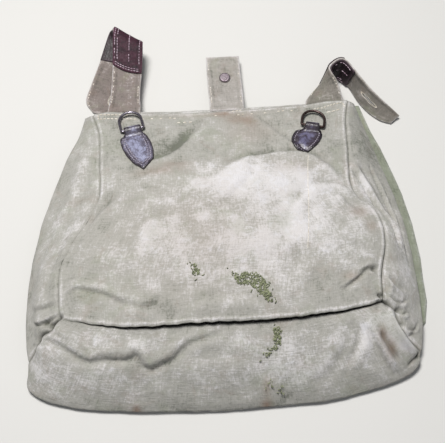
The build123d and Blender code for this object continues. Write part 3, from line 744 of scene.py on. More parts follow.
def shape_side(grid, side):
    """The same for one of the bag's sides, whose last columns are tucked in under it and stay calm."""
    outwards = (-1, 0, 0.6) if side == "left" else (1, 0, 0.6)
    normal = normals_of(grid, outwards)
    face = np.clip((SIDE_COLUMNS + 1 - np.arange(grid.shape[1])) / 5, 0, 1)[None]
    folds = [fold for fold in SIDE_FOLDS if (fold[0][0][0] < 0) == (side == "left")]
    lift = sum(fold_height(grid, normal, fold) for fold in folds)
    seed = 11 if side == "left" else 12
    down = np.linspace(0, 1, grid.shape[0])[:, None]
    share = np.clip(np.arange(grid.shape[1]) / (SIDE_COLUMNS - 1), 0, 1)[None]
    lift = lift + 2.2 * np.sin(np.pi * share) * np.sin(np.pi * down) ** 0.5
    lift += unevenness(grid, [(1.0, 34, seed), (0.7, 14, seed + 1), (0.25, 6, seed)], [(0.4, 24, seed)])
    lift += 1.0 * puckers(grid, grid[:, 0], seed) + 1.2 * puckers(grid, grid[-1], seed + 2)
    lift *= face
    show = seam_show(side, grid[..., 1])
    seam, end = edge_distance(grid[:, 0], grid), edge_distance(grid[-1], grid)
    calm = 1 - 0.85 * np.maximum(show * bell(seam / 4.5), bell(end / 3.5))
    deep, dark = crease_lines(grid)
    groove = show * 1.5 * bell(seam / 1.3) + 1.1 * bell(end / 1.2)
    pits = pit_depth(grid)
    lift = lift * calm - (groove + pits + deep) * face
    ridge = np.maximum(show * bell((seam - 2.4) / 1.2), bell((end - 2.4) / 1.2))
    # Painted shade along the seam, the tucked edge, the creases and the pits
    seam_dark = {"left": 0.25, "right": 0.5}[side]
    dark = np.maximum(dark, seam_dark * show * bell(seam / 0.7))
    dark = np.maximum(dark, 0.8 * bell(end / 0.8))
    dark = np.maximum(dark, pit_shade(pits)) * face
    return grid + normal * lift[..., None], lift, ridge * face, dark


def shape_bottom(grid):
    """The same for the bag's bottom, whose last rows are tucked in under it and stay calm."""
    normal = normals_of(grid, (0, -0.6, 1))
    rows = grid.shape[0]
    face_rows = rows - len(BOTTOM_TUCK)
    face = np.clip((face_rows + 1 - np.arange(rows)) / 5, 0, 1)[:, None]
    share = np.clip(np.arange(rows) / (face_rows - 1), 0, 1)[:, None]
    lift = sum(fold_height(grid, normal, fold) for fold in BOTTOM_FOLDS)
    lift = lift + 4.2 * np.sin(np.pi * share) ** 0.8
    lift += unevenness(grid, [(1.1, 30, 21), (0.7, 13, 22), (0.25, 6, 23)], [(0.4, 26, 25)])
    lift += 0.9 * puckers(grid, grid[0], 24)
    lift *= face
    ends = np.minimum(edge_distance(grid[:, 0], grid), edge_distance(grid[:, -1], grid))
    seam = edge_distance(grid[0], grid)
    calm = 1 - 0.85 * np.maximum(bell(seam / 5), bell(ends / 2.4))
    deep, dark = crease_lines(grid)
    groove = 0.3 * bell(seam / 0.8) + 1.0 * bell(ends / 1.1)
    pits = pit_depth(grid)
    lift = lift * calm - (groove + pits + deep) * face
    ridge = np.maximum(0.4 * bell((seam - 2.2) / 1.2), bell((ends - 2.4) / 1.2))
    # Painted shade along the seam, the tucked edges, the creases and the pits
    dark = np.maximum(dark, 0.5 * bell(seam / 0.5))
    dark = np.maximum(dark, 0.8 * bell(ends / 0.8))
    dark = np.maximum(dark, pit_shade(pits)) * face
    return grid + normal * lift[..., None], lift, ridge * face, dark


def hill(x, y, at, reach):
    """A round spot of value 1 that fades over its reach."""
    return np.exp(-(((x - at[0]) / reach[0]) ** 2 + ((y - at[1]) / reach[1]) ** 2))


# Where the canvas is painted paler, as worn and faded cloth and as painted light on the stuffed top, or
# darker where the amount is below zero, as painted shade on the slopes, the bottom and under folds and as
# greener cloth: middle, reach, amount
WEAR_AND_SHADE_SPOTS = [
    ((40, 0), (62, 42), 0.75), ((74, 28), (40, 14), 0.6), ((0, 26), (30, 16), 0.5), ((-55, -30), (34, 26),
     0.45),
    ((10, -60), (70, 26), 0.35), ((-100, -10), (18, 40), -0.15), ((-60, 66), (46, 26), -0.35), ((-36, 72),
     (13, 9), -0.5),
    ((-30, 82), (24, 7), -0.3), ((60, 88), (52, 24), -0.25), ((98, 52), (24, 20), -0.35), ((112, 84),
     (9, 26), 0.1),
    ((4, 98), (60, 8), -0.15), ((-16, -10), (6, 5), 0.9), ((16, 23), (9, 6), 0.8), ((17, 39), (6, 4), 0.8),
    ((28, 38), (8, 3), 0.8), ((52, 18), (8, 5), 0.7), ((74, 17), (6, 7), 0.7), ((64, -27), (20, 14), 0.45),
    ((-66, -27), (8, 12), 0.4), ((-50, 6), (12, 4), 0.5), ((-88, -76), (14, 6), -0.25), ((-62, -84),
     (14, 6), -0.4),
    ((88, -70), (26, 14), -0.35), ((130, 20), (5, 22), 0.75), ((128, 70), (10, 34), -0.2), ((148, 10),
     (8, 30), -0.1),
    ((152, -60), (12, 40), 0.25), ((-140, 30), (18, 44), -0.2), ((-150, -40), (18, 40), 0.05), ((-95, 20),
     (20, 16), 0.2),
    ((-70, -128), (56, 8), -0.4), ((0, -150), (150, 12), -0.3), ((70, -122), (50, 14), -0.15), ((-135, 0),
     (12, 24), 0.05),
    ((-108, -108), (24, 7), 0.4), ((112, -118), (7, 11), 0.7), ((139, -108), (4, 9), 0.5), ((148, -121),
     (6, 6), 0.6),
    ((-20, -112), (40, 6), 0.1), ((110, -144), (22, 6), -0.1), ((136, 60), (12, 34), -0.45), ((-92, 88),
     (22, 26), -0.4), ((-120, -82), (16, 5), 0.3), ((100, -50), (20, 14), 0.2),
]
RUST_SPOTS = [
    ((4, 111), (7, 5), 0.75), ((19, 103), (10, 6), 0.7), ((32, 99), (7, 7), 0.55), ((28, -164), (5, 4), 0.9),
    ((-79, -163), (4, 4), 0.95), ((-20, -30), (70, 50), 0.25), ((-54, 40), (22, 5), 0.45), ((-40, 47),
     (14, 4), 0.4),
    ((126, -116), (4, 7), 0.8), ((133, -127), (5, 7), 0.9), ((119, -8), (9, 6), 0.5), ((128, -21), (5, 6),
     0.5),
    ((-6, 110), (60, 4), 0.25), ((104, -69), (8, 4), 0.4), ((30, 84), (22, 14), 0.3), ((66, 40), (22, 8),
     0.25),
    ((28, -152), (3, 8), 0.6),
]


def spotted(x, y, spots):
    """Sum of round spots."""
    return sum(amount * hill(x, y, at, reach) for at, reach, amount in spots)


def paint(piece, grid, lift, ridge, dark, fade_and_shade=0.0):
    """Stores where the canvas is worn pale or painted lighter and darker as light and shade, where its folds
    and seams get painted shade, and where it is stained.
    """
    x, y = grid[..., 0], grid[..., 1]
    # Raised cloth is painted paler and low cloth darker, as painted light and shade; the ridges beside the
    # seams are paler too
    wear_and_shading = 0.15 * np.clip(lift, -4, 4) + fade_and_shade + spotted(x, y, WEAR_AND_SHADE_SPOTS)
    wear_and_shading += 0.45 * ridge
    # Painted shade: low cloth and the lines of seams, creases and pits are darker
    fold_shade = np.clip(0.045 * np.clip(-lift, 0, 6) + 0.8 * dark, 0, 0.95)
    store(piece, "cloth", grid_cloth(grid).reshape(-1, 3))
    store(piece, "wear_and_shading", wear_and_shading.ravel())
    store(piece, "rust", spotted(x, y, RUST_SPOTS).ravel())
    store(piece, "fold_shade", fold_shade.ravel())


def grid_piece(name, grid, lift, ridge, dark, material, fade_and_shade=0.0):
    """A sheet of canvas from a grid of points."""
    rows, columns = grid.shape[:2]
    faces = grid_faces(rows, columns)
    piece = mesh_object(name, grid.reshape(-1, 3), faces, material)
    paint(piece, grid, lift, ridge, dark, fade_and_shade)
    if piece.data.polygons[len(faces) // 2].normal.z < 0:
        piece.data.flip_normals()
    return thicken(piece, CLOTH)


LOWEST = 0.4


def make_bag():
    """Back, sides and bottom of the bag, kept off the floor. Also gives the grids they were shaped from."""
    grids = bag_surface()
    pieces = {}
    shaped = {
        "back_panel": shape_back(grids["back_panel"]),
        "side_gusset_left": shape_side(grids["side_gusset_left"], "left"),
        "side_gusset_right": shape_side(grids["side_gusset_right"], "right"),
        "bottom_gusset": shape_bottom(grids["bottom_gusset"]),
    }
    for node, (grid, lift, ridge, dark) in shaped.items():
        grid[..., 2] = np.maximum(grid[..., 2], LOWEST)
        # The sides and the bottom get painted shade, as slopes that face away from the lamp
        fade_and_shade = 0.0 if node == "back_panel" else -0.15
        piece = grid_piece(f"{node}_canvas", grid, lift, ridge, dark, CANVAS, fade_and_shade)
        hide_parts(node)
        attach(piece, "bag")
        pieces[node] = piece
    return pieces, grids


# --- Thin pieces, straps and stitches ----------------------------------------------------------------


def slab(name, middle, normal, thick, material, skip=(), cloth=None, wear_and_shading=None):
    """A closed thin piece: middle points, each with its normal and thickness. Skipped cells are holes."""
    rows, columns = middle.shape[:2]
    thick = np.broadcast_to(np.asarray(thick, float), (rows, columns))[..., None]
    half = normal * thick / 2
    points = np.concatenate([(middle + half).reshape(-1, 3), (middle - half).reshape(-1, 3)])
    upper = grid_faces(rows, columns, 0, skip)
    edges = {(a, b) for face in upper for a, b in zip(face, face[1:] + face[:1])}
    below = rows * columns
    lower = [tuple(corner + below for corner in reversed(face)) for face in upper]
    walls = [(b, a, a + below, b + below) for a, b in sorted(edges) if (b, a) not in edges]
    piece = mesh_object(name, points, upper + lower + walls, material)
    flat = grid_cloth(middle) if cloth is None else cloth
    store(piece, "cloth", np.concatenate([flat.reshape(-1, 3)] * 2))
    if wear_and_shading is not None:
        store(piece, "wear_and_shading", np.concatenate([np.ravel(wear_and_shading)] * 2))
    used = {corner for face in upper + lower for corner in face}
    if len(used) < len(points):
        drop_loose(piece)
    face_outwards(piece)
    return piece


def drop_loose(piece):
    """Removes points that no face uses."""
    made = bmesh.new()
    made.from_mesh(piece.data)
    bmesh.ops.delete(made, geom=[point for point in made.verts if not point.link_faces], context="VERTS")
    made.to_mesh(piece.data)
    made.free()


def face_outwards(piece):
    """Turns the faces of a closed mesh outwards."""
    if signed_volume(piece) < 0:
        piece.data.flip_normals()


def signed_volume(piece):
    """Volume inside a closed mesh, below zero if its faces look inwards."""
    piece.data.calc_loop_triangles()
    points = np.array([point.co for point in piece.data.vertices])
    corners = np.array([triangle.vertices for triangle in piece.data.loop_triangles])
    a, b, c = (points[corners[:, place]] for place in range(3))
    return float((a * np.cross(b, c)).sum() / 6)


def spread(length, step, hem=(0.0, 0.3, 1.0)):
    """Places from 0 to length, a step apart, with a few close ones near both ends for a rounded edge."""
    inner = np.linspace(hem[-1], length - hem[-1], max(2, int(round(length / step))))
    return np.concatenate([hem[:-1], inner, length - np.array(hem[-2::-1])])


class Ribbon:
    """A strap's middle surface between two smooth edges. Across is in millimetres from the first edge."""

    def __init__(self, stations, wide):
        first = curve([start for start, _ in stations], 400)
        second = curve([end for _, end in stations], 400)
        self.first, self.second, self.wide = first, second, wide
        middle = (first + second) / 2
        self.run = runs(middle)
        self.long = self.run[-1]
        self.normals = unit(np.cross(second - first, np.gradient(middle, axis=0)))

    def row(self, values, along):
        """Places or directions kept along the strap, at a run."""
        return np.stack([np.interp(along, self.run, values[:, axis]) for axis in range(3)], axis=-1)

    def at(self, across, along, lift=0.0):
        """Points on the strap, lifted along its normal."""
        across, along = np.broadcast_arrays(np.asarray(across, float), np.asarray(along, float))
        share = (across / self.wide)[..., None]
        normal = self.row(self.normals, along)
        place = self.row(self.first, along) * (1 - share) + self.row(self.second, along) * share
        return place + normal * np.asarray(lift, float)[..., None]

    def normal(self, along):
        """The strap's normal at a run."""
        return self.row(self.normals, along)


def wavy(across, along, seed, tall):
    """Gentle unevenness of a strap, in millimetres."""
    value = [noise.noise(Vector((u / 14, v / 17, seed * 7.7))) for u, v in zip(across.ravel(), along.ravel())]
    return tall * np.array(value).reshape(across.shape)


def cells_in(hole, across, along):
    """Cells of a strap's grid whose middle lies inside an oval hole."""
    hole_across, hole_along, half_wide, half_long = hole
    aside = (across[:-1, :-1] + across[1:, 1:]) / 2 - hole_across
    ahead = (along[:-1, :-1] + along[1:, 1:]) / 2 - hole_along
    inner = (aside / half_wide) ** 2 + (ahead / half_long) ** 2 < 1
    return {(int(row), int(column)) for row, column in zip(*np.nonzero(inner))}


def strap_piece(name, ribbon, start, end, thick, hem, seed, material, wave, holes=(), lift=0.0):
    """A hemmed canvas or leather strap on a stretch of a ribbon. Start and end may be functions of across."""
    columns = spread(ribbon.wide, 1.1)
    rows = spread(1.0, 1.2 / max(10.0, ribbon.long), (0.0, 0.004, 0.012))
    first, last = (np.array([edge(u) if callable(edge) else edge for u in columns]) for edge in (start, end))
    along = first[None] + (last - first)[None] * rows[:, None]
    across = np.broadcast_to(columns[None], along.shape)
    from_edge = np.minimum(across, ribbon.wide - across)
    from_end = np.minimum(along - first[None], last[None] - along)
    border = np.minimum(from_edge, from_end)
    round_edge = 0.35 + 0.65 * np.clip(border / 1.0, 0, 1) ** 0.5
    padded = thick + hem * np.exp(-((border - 2.6) / 2.2) ** 4)
    padded = padded * round_edge + 0.12 * wavy(across * 3, along * 3, seed + 1, 1.0)
    bend = wavy(across, along, seed, wave)
    middle = ribbon.at(across, along, lift + bend)
    normal = ribbon.normal(along)
    skip = set().union(*[cells_in(hole, across, along) for hole in holes])
    cloth = np.stack([across, along, np.zeros_like(along)], axis=-1)
    rubbed_and_sheen = 0.8 * bell(border / 1.3) - 0.35 * bell((border - 4.6) / 1.1)
    return slab(name, middle, normal, padded, material, skip, cloth, rubbed_and_sheen)


def tube(points, radius, sides):
    """Points and faces of a thread with rounded ends along a line."""
    line = np.asarray(points, float)
    along = unit(np.gradient(line, axis=0))
    helper = np.where(np.abs(along[:, 2:3]) > 0.8, [[1.0, 0, 0]], [[0, 0, 1.0]])
    side = unit(np.cross(along, helper))
    up = np.cross(side, along)
    swell = np.ones(len(line))
    swell[0] = swell[-1] = 0.45
    turn = np.linspace(0, 2 * np.pi, sides, endpoint=False)
    ring = side[:, None] * np.cos(turn)[None, :, None] + up[:, None] * np.sin(turn)[None, :, None]
    rings = line[:, None] + ring * (radius * swell)[:, None, None]
    faces = []
    for row in range(len(line) - 1):
        for step in range(sides):
            a, b = row * sides + step, row * sides + (step + 1) % sides
            faces.append((a, b, b + sides, a + sides))
    faces.append(tuple(range(sides))[::-1])
    last = (len(line) - 1) * sides
    faces.append(tuple(range(last, last + sides)))
    return rings.reshape(-1, 3), faces


def threads(name, lines, radius, material, sides=5):
    """One piece of many short threads."""
    points, faces, start = [], [], 0
    for line in lines:
        ring_points, ring_faces = tube(line, radius, sides)
        points.append(ring_points)
        faces += [tuple(corner + start for corner in face) for face in ring_faces]
        start += len(ring_points)
    piece = mesh_object(name, np.vstack(points), faces, material)
    face_outwards(piece)
    return piece


def stitch_lines(line, normals, long, gap, sink, chance, source, jitter=0.12):
    """Stitches along a line: short arched threads that dip into the cloth at both ends."""
    run = runs(line)
    found, place = [], gap
    while place + long < run[-1]:
        if source.random() < chance:
            where = place + np.array([0, 0.18, 0.5, 0.82, 1]) * long
            at = np.column_stack([np.interp(where, run, line[:, axis]) for axis in range(3)])
            out = np.column_stack([np.interp(where, run, normals[:, axis]) for axis in range(3)])
            side = unit(np.cross(at[-1] - at[0], out[2]))
            lift = np.array([-0.55, -0.05, 0.08, -0.05, -0.55]) * sink
            found.append(at + out * lift[:, None] + side * source.uniform(-jitter, jitter))
        place += long + gap
    return found


class Surface:
    """Drops points onto a piece from above."""

    def __init__(self, *pieces):
        self.trees = [BVHTree.FromObject(piece, bpy.context.evaluated_depsgraph_get()) for piece in pieces]

    def drop(self, x, y):
        """The highest point and its normal at x, y, in the drawing's millimetres."""
        start = Vector(metres((x, y, 200)))
        hits = [tree.ray_cast(start, Vector((0, 0, -1))) for tree in self.trees]
        hits = [hit for hit in hits if hit[0] is not None]
        if not hits:
            return None
        place, normal = max(hits, key=lambda hit: hit[0].z)[:2]
        return (np.array(place) - ORIGIN) * 1000, np.array(normal)

    def line(self, points, step=0.5):
        """A line of level points dropped onto the surface, with their normals."""
        flat = [(x, y, 0.0) for x, y in points]
        smooth = curve(flat, max(2, int(span_of(flat) / step)))
        hits = [hit for hit in (self.drop(x, y) for x, y, _ in smooth) if hit is not None]
        return np.array([hit[0] for hit in hits]), np.array([hit[1] for hit in hits])


# --- Leather, metal and thread -----------------------------------------------------------------------

GRAIN_SIZE, CRACK_STEP = 1.1, 3.4


def leather_material(name, body, dark, rubbed_and_sheen, rough, gloss=0.6):
    """Old waxed leather: fine grain, cracks, dark edges, worn patches, and a pale colour that is also a
    painted sheen where a piece stores it.
    """
    body, dark, rubbed_and_sheen = linears(body, dark, rubbed_and_sheen)
    n = Nodes(name)
    place, wear_and_shading = n.place(), n.stored("wear_and_shading")
    patch = n.noise(place, 7, 5, 0.65, 0.8)
    scuff = n.noise(place, 2.2, 5, 0.75, 1.5)
    cells = n.cells(place, GRAIN_SIZE, "F1")
    crack = n.cells(n.scaled(place, (1, 0.45, 1)), CRACK_STEP, "DISTANCE_TO_EDGE")
    shade = n.math("ADD", n.span(patch, 0.3, 0.7, -0.5, 0.5), wear_and_shading)
    colour = n.mix(n.span(shade, -0.6, 0.15), dark, body)
    colour = n.mix(n.span(shade, 0.1, 0.9), colour, rubbed_and_sheen)
    colour = n.mix(n.span(scuff, 0.58, 0.74, 0.0, 0.45), colour, rubbed_and_sheen)
    colour = n.mix(n.span(crack, 0.06, 0.0, 0.0, 0.5), colour, dark)
    normal = n.bump(cells, 0.14, 0.55)
    normal = n.bump(n.span(crack, 0.0, 0.1), 0.16, 0.4, normal)
    normal = n.bump(n.noise(place, 4, 4, 0.6), 0.5, 0.5, normal)
    shine = n.math("ADD", n.span(scuff, 0.35, 0.7, -0.08, 0.2), rough)
    return n.finish(colour, shine, normal, Specular_IOR_Level=gloss)


def metal_material(name, bright, dull, stain, rough, stained):
    """Old wire or plate: tarnish in patches, rust in spots and fine scratches."""
    bright, dull, stain = linears(bright, dull, stain)
    n = Nodes(name)
    place = n.place()
    patch = n.noise(place, 3.0, 5, 0.7, 0.8)
    spot = n.noise(place, 1.1, 4, 0.75, 1.0)
    scratch = n.noise(n.scaled(place, (1.0, 0.12, 1.0)), 0.35, 3, 0.7)
    colour = n.mix(n.span(patch, 0.35, 0.65), bright, dull)
    rusty = n.math("MULTIPLY", n.span(spot, 0.48, 0.62), stained)
    colour = n.mix(rusty, colour, stain)
    shine = n.math("ADD", n.span(patch, 0.3, 0.7, -0.08, 0.16), n.math("MULTIPLY", rusty, 0.35))
    shine = n.math("ADD", shine, n.span(scratch, 0.3, 0.7, rough - 0.06, rough + 0.06))
    normal = n.bump(spot, 0.16, 0.6)
    normal = n.bump(scratch, 0.03, 0.4, normal)
    n.feed(n.shader.inputs["Metallic"], n.span(rusty, 0.2, 0.9, 1.0, 0.2))
    return n.finish(colour, shine, normal)


def thread_material(name, pale, dark, patch=3.5):
    """Twisted thread, dirty in places."""
    pale, dark = linears(pale, dark)
    n = Nodes(name)
    place = n.place()
    colour = n.mix(n.span(n.noise(place, patch, 4, 0.7), 0.38, 0.62), dark, pale)
    twist = n.noise(place, 0.35, 2, 0.6)
    colour = n.mix(n.span(twist, 0.4, 0.6, 0.0, 0.25), colour, dark)
    return n.finish(colour, 0.85, n.bump(twist, 0.12, 0.8), Sheen_Weight=0.2)


def button_material():
    """Pressed horn: brown with pale streaks and dark specks."""
    n = Nodes("horn")
    place = n.place()
    streak = n.noise(n.scaled(place, (0.5, 1.0, 1.0)), 2.4, 5, 0.7, 1.6)
    colour = n.mix(n.span(streak, 0.35, 0.65), linear(64, 50, 42), linear(128, 104, 84))
    colour = n.mix(n.span(n.noise(place, 0.8, 3), 0.55, 0.7, 0.0, 0.4), colour, linear(40, 32, 28))
    return n.finish(colour, n.span(streak, 0.3, 0.7, 0.3, 0.5), n.bump(streak, 0.08, 0.5))


# The left tabs' leather is paler and bluer as a painted sheen; the other leather is darker, with a weaker
# painted sheen in its pale colour
TAB_LEFT_SHEEN = leather_material("blue_black_leather", (94, 90, 106), (44, 37, 45), (146, 148, 174), 0.38)
TAB_RIGHT = leather_material("plum_leather", (58, 49, 61), (34, 27, 34), (98, 95, 122), 0.36)
OXBLOOD = leather_material("oxblood_leather", (58, 30, 42), (34, 18, 27), (80, 50, 64), 0.62, 0.25)
BLACK_LEATHER = leather_material("black_leather", (40, 28, 33), (20, 14, 18), (66, 52, 60), 0.5, 0.4)
GREY_STEEL = metal_material("grey_steel", (160, 156, 166), (86, 82, 92), (74, 52, 46), 0.28, 0.5)
BROWN_STEEL = metal_material("brown_steel", (92, 80, 78), (54, 44, 44), (58, 36, 28), 0.38, 0.9)
RIVET_METAL = metal_material("rivet_metal", (186, 176, 182), (122, 110, 120), (96, 76, 76), 0.36, 0.6)
HORN = button_material()
PALE_THREAD = thread_material("pale_thread", (244, 238, 228), (198, 188, 172))
TAB_THREAD = thread_material("tab_thread", (196, 188, 202), (122, 112, 128))
RED_THREAD = thread_material("loop_thread", (206, 188, 200), (150, 120, 138))
MOSS_THREAD = thread_material("moss_thread", (156, 161, 128), (82, 87, 62), 1.6)


# --- Rings and their tabs ----------------------------------------------------------------------------

# Outline of each tab: distance from the ring's bar, reach to the left, reach to the right
TAB_SHAPE = {
    "left": [(0, 7.9, 7.9), (4.4, 8.4, 8.4), (5.2, 11.4, 9.2), (6.6, 13.2, 10.5), (10.5, 14.1, 12.1),
             (19, 13.6, 13.9), (29, 11.5, 13.9), (38, 7.8, 12.1), (45, 4.0, 8.0),
             (49.6, 1.0, 2.6), (51, -0.3, 0.6)],
    "right": [(0, 6.6, 6.0), (4.4, 7.8, 6.9), (5.2, 12.4, 9.0), (6.9, 15.0, 10.0), (11, 16.8, 9.8),
              (16, 17.9, 8.3), (21, 17.5, 6.0), (26, 14.7, 2.5), (30, 10.4, -1.0),
              (32.3, 7.4, -4.0), (33, 6.0, -5.2)],
    "flap": [(0, 7.9, 7.9), (3, 8.2, 8.2), (8, 12.4, 12.4), (14, 15.3, 15.3), (20, 15.0, 15.0),
             (27, 12.0, 12.0), (34, 6.6, 6.6), (38.6, 2.2, 2.2), (40, 0.4, 0.4)],
}
LEATHER = 1.7
# The part of a tab's shoulder that the ring passes over, about the bar's middle, and how high it may reach
RING_ASIDE, RING_LOW, RING_HIGH, SHOULDER = 8, -14, -4.5, -2.5
# How the leather goes round a ring's bar: places (towards the bow, off the cloth) about the bar's middle
TAB_WRAP = [
    (-7.0, -3.7), (-3.2, -3.3), (0.2, -2.5), (1.9, -1.6), (2.5, 0.0), (1.9, 1.6), (0.2, 2.5), (-1.7, 2.1),
    (-3.4, 0.6),
    (-5.4, -1.0), (-8.0, -1.8),
]


def ring_frame(joint_name, off_cloth):
    """A ring's bar: its middle, and the directions along it, towards the bow, and off the cloth."""
    joint = next(joint for joint in frame["joints"] if joint["name"] == joint_name)
    across = np.array(joint["axis"], float)
    origin = (np.array(joint["pos_m"], float) - ORIGIN) * 1000
    out = np.array(off_cloth, float)
    out = unit(out - across * (out @ across))
    return origin, across, np.cross(out, across), out


def tab_row(shape, away):
    """Middle and half-width of a tab at a distance from the bar."""
    far, left, right = zip(*shape)
    to_left, to_right = float(np.interp(away, far, left)), float(np.interp(away, far, right))
    return (to_right - to_left) / 2, (to_right + to_left) / 2


def below_ring(point, bar):
    """A point of a tab's shoulder, lowered to leave room for the ring when it swings down over the tab."""
    origin, across, bow, out = bar
    off = point - origin
    if abs(off @ across) < RING_ASIDE or not RING_LOW < off @ bow < RING_HIGH:
        return point
    return point - out * max(0.0, off @ out - SHOULDER)


def settle_on(row, surface, share):
    """Moves points a share of the way onto a surface, with room for half the leather and a hair."""
    for point in row:
        hit = surface.drop(point[0], point[1])
        if hit is not None:
            point[2] += (hit[0][2] + 0.5 * LEATHER + 0.25 - point[2]) * share


def ring_tab(name, bar, shape, material, surface=None, insets=(2.6, 4.8)):
    """A leather leaf that goes round a ring's bar and lies on the cloth."""
    origin, across, bow, out = bar
    long, neck = shape[-1][0], 5.0
    wrap = curve([(b, c, 0) for b, c in TAB_WRAP], 30)[:, :2]
    blade = np.linspace(neck, long, 48)
    path = [(b, c, None) for b, c in wrap] + [(-value, -1.8, value) for value in blade[1:]]
    columns = np.concatenate([[-1, -0.97, -0.9], np.linspace(-0.8, 0.8, 17), [0.9, 0.97, 1]])
    middle, thick, wear_and_shading = [], [], []
    for place, (b, c, value) in enumerate(path):
        under = value is None and place < 6
        centre, half = tab_row(shape, max(0.0, -b) if value is None and not under else value or 0.0)
        half -= 0.8 if under else 0.0
        row = [origin + across * (centre + half * share) + bow * b + out * c for share in columns]
        if value is not None and surface is not None:
            settle_on(row, surface, min(1.0, (value - neck) / 5))
        row = [below_ring(point, bar) for point in row]
        middle.append(row)
        rim = half * (1 - np.abs(columns))
        if value is not None:
            rim = np.minimum(rim, long - value + 0.2)
        rounded = 0.3 + 0.7 * np.clip(rim / 0.9, 0, 1) ** 0.5
        belly = 1 + 0.4 * np.clip(rim / 6, 0, 1) - 0.3 * bell((rim - 1.5) / 0.4)
        thick.append(LEATHER * rounded * (belly if value is not None else 1.0))
        # A dark rim and a darker band about 4 mm in; the middle is painted paler as a sheen, the strip over
        # the bar brighter as a painted highlight, and the rest of the wrap and the leather just past the neck
        # darker as painted shade
        dark_edge = 1.0 * bell(rim / 1.2) + 0.2 * bell((rim - 4.2) / 1.6)
        crest = 0.9 if 13 <= place <= 16 else -0.5 * bell(((value or 3.0) - 6) / 3)
        wear_and_shading.append(0.68 * np.clip((rim - 2.5) / 6.5, 0, 1) - dark_edge + crest)
    middle, thick = np.array(middle), np.array(thick)
    normal = unit(np.cross(np.gradient(middle, axis=1), np.gradient(middle, axis=0)))
    if normal[-10, 10] @ out < 0:
        normal = -normal
    leaf = slab(name, middle, normal, thick, material, wear_and_shading=wear_and_shading)
    halves = [tab_row(shape, value)[1] for value in blade]
    leaf_part = (middle[-len(blade):], normal[-len(blade):], thick[-len(blade):])
    return leaf, tab_stitches(f"{name}_stitches", leaf_part, columns, halves, insets)


def tab_stitches(name, leaf_part, columns, halves, insets):
    """Rows of stitches at fixed distances inside a leaf's edge."""
    source = random.Random(name)
    middle, normal, thick = leaf_part
    lines = []
    for inset in insets:
        for side in (-1, 1):
            line, outs = [], []
            for row, half in enumerate(halves[2:], 2):
                if half <= inset + 0.6:
                    break
                share = side * (half - inset) / half
                point = [np.interp(share, columns, middle[row][:, axis]) for axis in range(3)]
                out = [np.interp(share, columns, normal[row][:, axis]) for axis in range(3)]
                deep = float(np.interp(share, columns, thick[row]))
                line.append(np.array(point) + np.array(out) * deep / 2)
                outs.append(out)
            lines += stitch_lines(np.array(line), np.array(outs), 1.7, 0.8, 0.6, 0.95, source, 0.08)
    return threads(name, lines, 0.4, TAB_THREAD, 6)


# How far inside each tab's edge its rows of stitches are
TAB_ROWS = {"left": (2.8, 5.2), "right": (3.2,)}


def make_tabs(surface):
    """A leather tab in each of the four rings: two on the back, two on the flap."""
    for side, material in (("left", TAB_LEFT_SHEEN), ("right", TAB_RIGHT)):
        bar = ring_frame(f"ring_{side}_swing", (0, 0.16, 0.987))
        name = f"ring_tab_{side}_leather"
        leaf, stitches = ring_tab(name, bar, TAB_SHAPE[side], material, surface, TAB_ROWS[side])
        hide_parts(f"ring_tab_{side}")
        for piece in (leaf, stitches):
            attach(piece, "bag")
        bar = ring_frame(f"flap_ring_{side}_swing", (0, 0, -1))
        leaf, stitches = ring_tab(f"flap_ring_tab_{side}_leather", bar, TAB_SHAPE["flap"], material)
        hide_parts(f"flap_ring_tab_{side}")
        for piece in (leaf, stitches):
            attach(piece, "flap")


# --- Straps ------------------------------------------------------------------------------------------

STRAP_THICK, LOOP_WIDE = 1.5, 31.0
# How far a loop's leather reaches below its first station
LEATHER_DROP = 5.5
# Stations of each strap, from the bag on: a point of its first edge and one of its second edge
HOOK_STRAP = [
    ((-6, 116, 17.3), (27, 116, 17.3)),
    ((-6, 124.5, 17.4), (27, 124.5, 17.4)),
    ((-6, 136, 13.8), (27, 136, 14)),
    ((-6.6, 147, 11.2), (27, 146, 11)),
    ((-7, 166, 11), (26.4, 166, 11)),
    ((-7, 184, 11), (26, 184.5, 11)),
]
LEFT_LOOP = [
    ((-105, 114, 17.3), (-73, 114, 17.3)),
    ((-103.5, 124.5, 17.6), (-72.5, 124.5, 17.6)),
    ((-101.5, 138, 17), (-73, 137, 16)),
    ((-100.5, 152, 17), (-72.5, 149, 16)),
    ((-99, 176, 21), (-70.5, 167, 19)),
    ((-98, 205, 29), (-69, 188, 26)),
    ((-99, 212.5, 26), (-70.5, 195.5, 22)),
    ((-104, 210, 18), (-77, 194, 14)),
    ((-114, 185, 8), (-84, 176, 7)),
    ((-123, 162, 3), (-92, 152, 3)),
    ((-127.8, 144, 1.3), (-97.5, 136, 1.3)),
    ((-121, 131, 1.3), (-108.5, 128, 1.3)),
]
RIGHT_LOOP = [
    ((85.5, 112, 17.2), (124, 116, 17.2)),
    ((87, 122.5, 17.4), (123, 126.5, 17.6)),
    ((96, 137, 11), (119, 141, 23)),
    ((107, 150, 4), (112, 152, 29)),
    ((115, 157, 1.6), (118, 160, 29)),
    ((123, 159, 1.6), (125, 163, 29)),
    ((130, 154, 1.6), (131, 160, 28)),
    ((135, 146, 1.6), (136, 152, 27)),
    ((138, 138, 1.6), (141, 143, 26)),
    ((142, 128, 1.6), (149, 134, 22)),
    ((151, 115, 1.6), (159, 124, 17)),
    ((160, 107, 1.6), (169, 117, 11)),
    ((170, 103, 1.7), (179, 110, 4)),
]


def swing_with(piece):
    """Bakes the piece's transform into its mesh."""
    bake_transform(piece)


EDGE_INSET = 2.2


